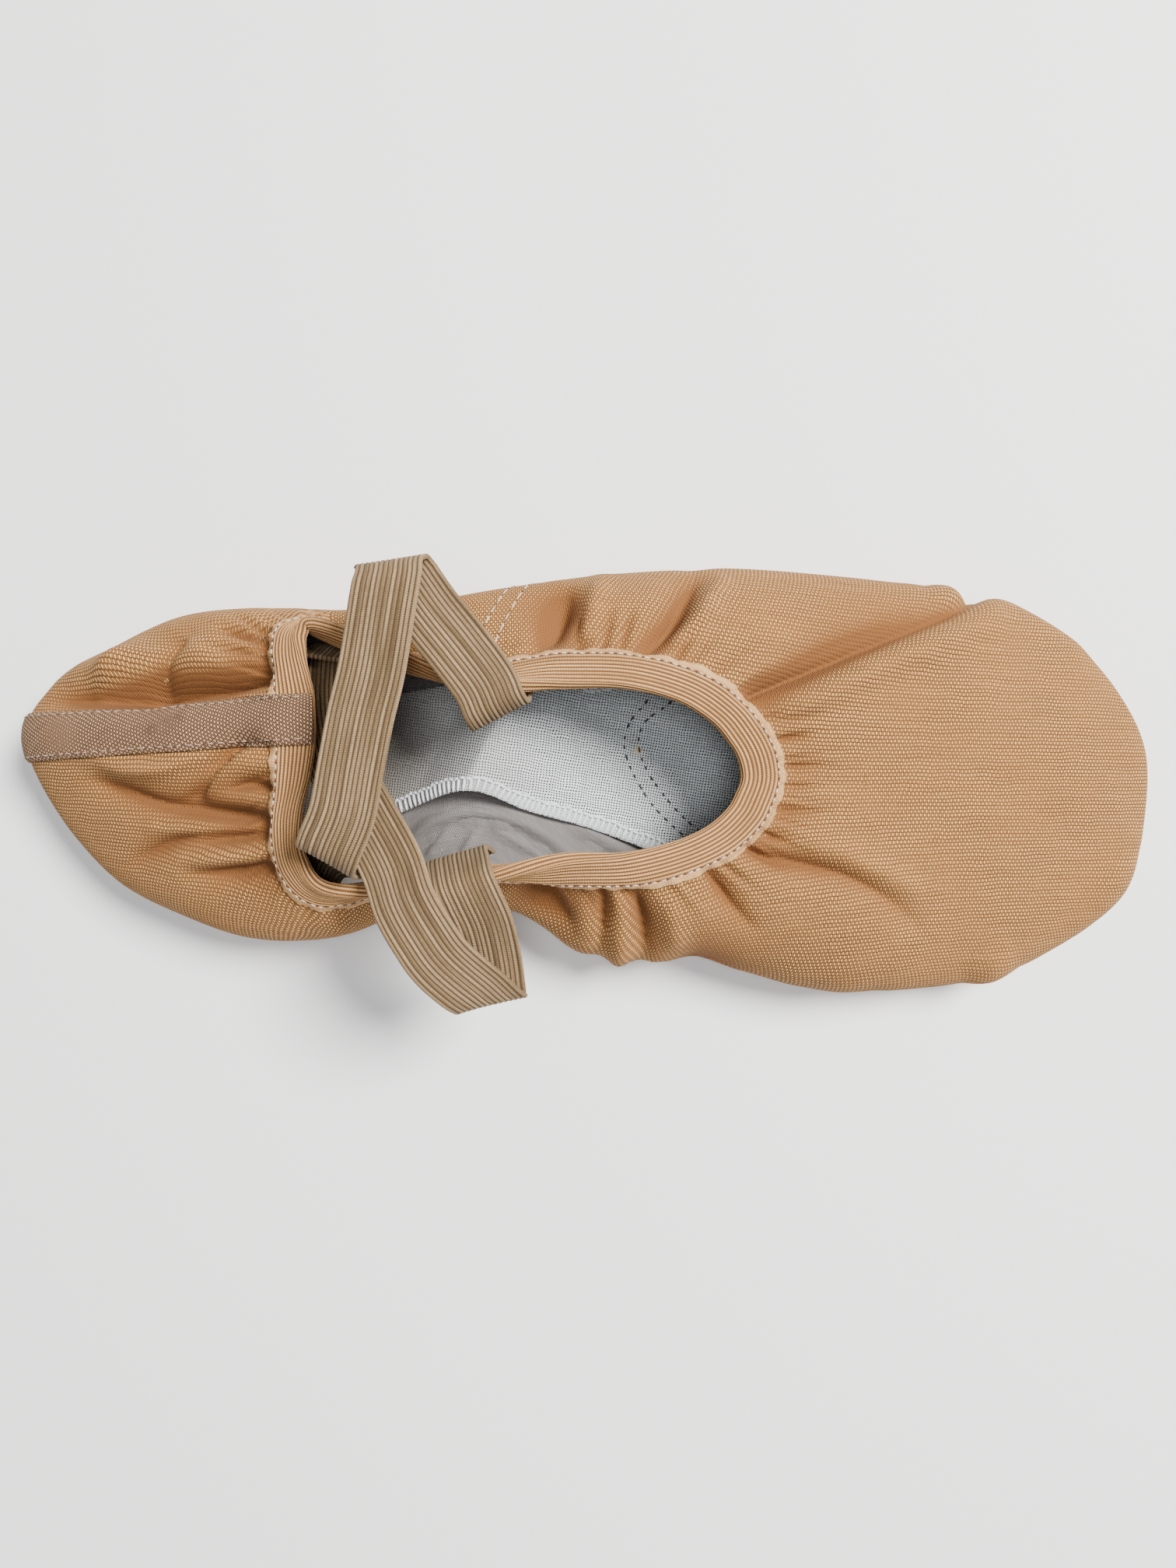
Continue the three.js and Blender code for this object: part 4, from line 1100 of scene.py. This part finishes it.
def sew_binding():
    line = np.linspace(0, LOOP, 1400)
    below = LIP_EDGE + 0.12
    reach = reach_at(line, below)
    normals = cloth_normal(line, reach)
    relief = cloth_relief(line % LOOP, reach)
    outside = collar_place(line, below, relief + TAPE_FACE - 0.14)
    inside = collar_place(line, below, relief - WALL - TAPE_FACE + 0.06)
    sew("binding", [(outside, normals)], pitch=1.9, cover=0.5, uneven=0.22, radius=0.15, look=white_thread,
        hole_cover=0.3, hole_radius=0.28, sunk=0.1, hidden=[(inside, -normals)])


def insole_edge_threads():
    """Overlocked edge: strands from the rim to a line inside it, joined by a chain."""
    closed = np.vstack([insole_rim, insole_rim[:1]])
    run = lengths_along(closed)
    count = int(run[-1] / 1.35)
    stops = np.arange(count) * run[-1] / count
    outer, ahead, behind = (line_at(closed[:, :2], run, (stops + step) % run[-1]) for step in (0, 2, -2))
    along = unit(ahead - behind)
    inward = np.stack([-along[:, 1], along[:, 0]], -1)
    wobble = 0.25 * np.sin(stops * 1.7) + 0.15 * np.sin(stops * 0.61)
    inner = outer + inward * (2.9 + wobble)[:, None] + along * 0.5

    def lifted(points, rise):
        level = insole_level(points[:, 0], points[:, 1]) + INSOLE_THICKNESS + rise
        return np.concatenate([points, level[:, None]], 1)

    outer, inner = lifted(outer - inward * 0.15, -0.25), lifted(inner, 0.12)
    pieces = [(a, b, UP, 0.22) for a, b in zip(outer, inner)]
    pieces += [(a, b, UP, 0.12) for a, b in zip(inner, np.roll(inner, -1, 0))]
    return [piece for piece in pieces if not (70 < piece[0][0] < 125 and piece[0][1] > 8)]


# Two rows where the front sole patch is sewn through the insole: x, y
SOLE_ROWS = [
    [(139.5, 20), (138.1, 16), (136.4, 14.3), (134.6, 12), (133.5, 8.9), (133.3, 5.9), (134.2, 2.7),
     (135.5, -0.3), (138.5, -5.4), (140.8, -8.3), (143.5, -11), (147, -14.2), (151, -17.5)],
    [(146, 19), (143.8, 16.4), (142.1, 15), (139.6, 13.4), (137.6, 11.3), (136.6, 8.4), (136.8, 5),
     (138, 1.8), (139.4, -0.8), (143.1, -5.8), (147, -10.1), (149.7, -12.4), (153, -15)],
]


def sole_row(stops):
    x, y = curve_at(stops, np.linspace(0, len(stops) - 1, 160)).T
    curve = np.stack([x, y, insole_level(x, y) + INSOLE_THICKNESS - 0.06], -1)
    return stitch_row(curve, UP, pitch=2.3, cover=0.5, bow=0.06, uneven=0.2)


def strap_seam(strap, distance):
    """A line of stitches across both faces of a strap, at a distance from its first end."""
    *frames, length = strap
    middle, side, up = (line_at(values, length, distance) for values in frames)
    rows = []
    for sign in (1, -1):
        face = middle + up * sign * (STRAP_THICKNESS / 2 + 0.02)
        line = face + side * np.linspace(-0.93, 0.93, 40)[:, None]
        rows += stitch_row(line, sign * up, pitch=2.1, cover=0.6, bow=0.1)
    return rows


# The side seam's two rows: around, reach
SIDE_SEAM = [[(6.86, 0.5), (6.98, 0.67), (7.3, 1.3)], [(7.08, 0.42), (7.14, 0.57), (7.5, 1.3)]]


def sew_side_seam():
    rows = []
    for stops in SIDE_SEAM:
        q, r = curve_at(stops, np.linspace(0, 1, 80) * 2).T
        rows.append((off_cloth(q, r, cloth_relief(q, r) + 0.08), cloth_normal(q, r)))
    sew("side_seam", rows, pitch=3.0, cover=0.68, uneven=0.15, radius=0.15, look=white_thread,
        hole_cover=0.12, hole_radius=0.18)


def sew_back_strip():
    reaches = np.linspace(0.02, 1.44, 500)
    rows = []
    for side in (-1, 1):
        q = beside_seam(side * (STRIP_WIDTH / 2 - 1.0), reaches)
        below = distance_at(q, reaches) + 100 * (reaches > 1)
        lift = ON_BINDING + (ON_CANVAS - ON_BINDING) * smoothstep(below, OFF_BINDING, BINDING_WIDTH + 3)
        lift += STRIP_THICKNESS + 0.02 + cloth_relief(q % LOOP, reaches)
        rows.append((off_cloth(q, reaches, lift), cloth_normal(q, reaches)))
    sew("tape", rows, pitch=2.2, cover=0.58, uneven=0.2, radius=0.14, look=peach_thread,
        hole_cover=0.34, hole_radius=0.22, sunk=0.1)


sew_binding()
threads("insole_overlock", insole_edge_threads(), 0.36, overlock_thread)
threads("sole_stitches", [piece for row in SOLE_ROWS for piece in sole_row(row)], 0.25, dark_thread)
threads("strap_stitches", strap_seam(lower_strap, 2.4), 0.17, white_thread)
sew_side_seam()
sew_back_strip()


# Floor, light and camera

FLOOR_HALF = 3
PHOTO_WIDTH = 1512
PHOTO_FOCAL = 1515
SENSOR_WIDTH = 36


def area(name, place, aim, size, power, colour):
    lamp = bpy.data.lights.new(name, "AREA")
    lamp.shape = "DISK"
    lamp.size = size
    lamp.energy = power
    lamp.color = colour
    item = link(name, lamp)
    item.location = place
    direction = np.array(aim, float) - np.array(place, float)
    item.rotation_euler = Vector(direction).to_track_quat("-Z", "Y").to_euler()


floor_mesh = bpy.data.meshes.new("floor")
floor_corners = [(x * FLOOR_HALF, y * FLOOR_HALF, 0) for x, y in ((-1, -1), (1, -1), (1, 1), (-1, 1))]
floor_mesh.from_pydata(floor_corners, [], [(0, 1, 2, 3)])
floor = link("floor", floor_mesh)
floor_look = Look("floor_paint", roughness=0.7, sheen=0.0, specular=0.2)
floor.data.materials.append(floor_look.finish((0.9, 0.9, 0.9)))

area("key", (0.7, 0.4, 1.08), (0.1, 0, 0), 0.52, 50.0, (1, 0.975, 0.94))
area("fill", (0.1, -0.05, 1.3), (0.08, 0, 0), 0.5, 7.0, (0.97, 0.98, 1))
world = bpy.data.worlds.new("studio")
world.use_nodes = True
background = world.node_tree.nodes["Background"]
background.inputs[0].default_value = (0.93, 0.96, 1, 1)
background.inputs[1].default_value = 0.34
bpy.context.scene.world = world

lens = bpy.data.cameras.new("camera")
lens.sensor_fit = "HORIZONTAL"
lens.sensor_width = SENSOR_WIDTH
lens.lens = SENSOR_WIDTH * PHOTO_FOCAL / PHOTO_WIDTH
lens.clip_start = 0.01
camera = link("camera", lens)
camera.location = (0.083, -0.00225, 0.274)
bpy.context.scene.camera = camera

bpy.context.view_layer.update()
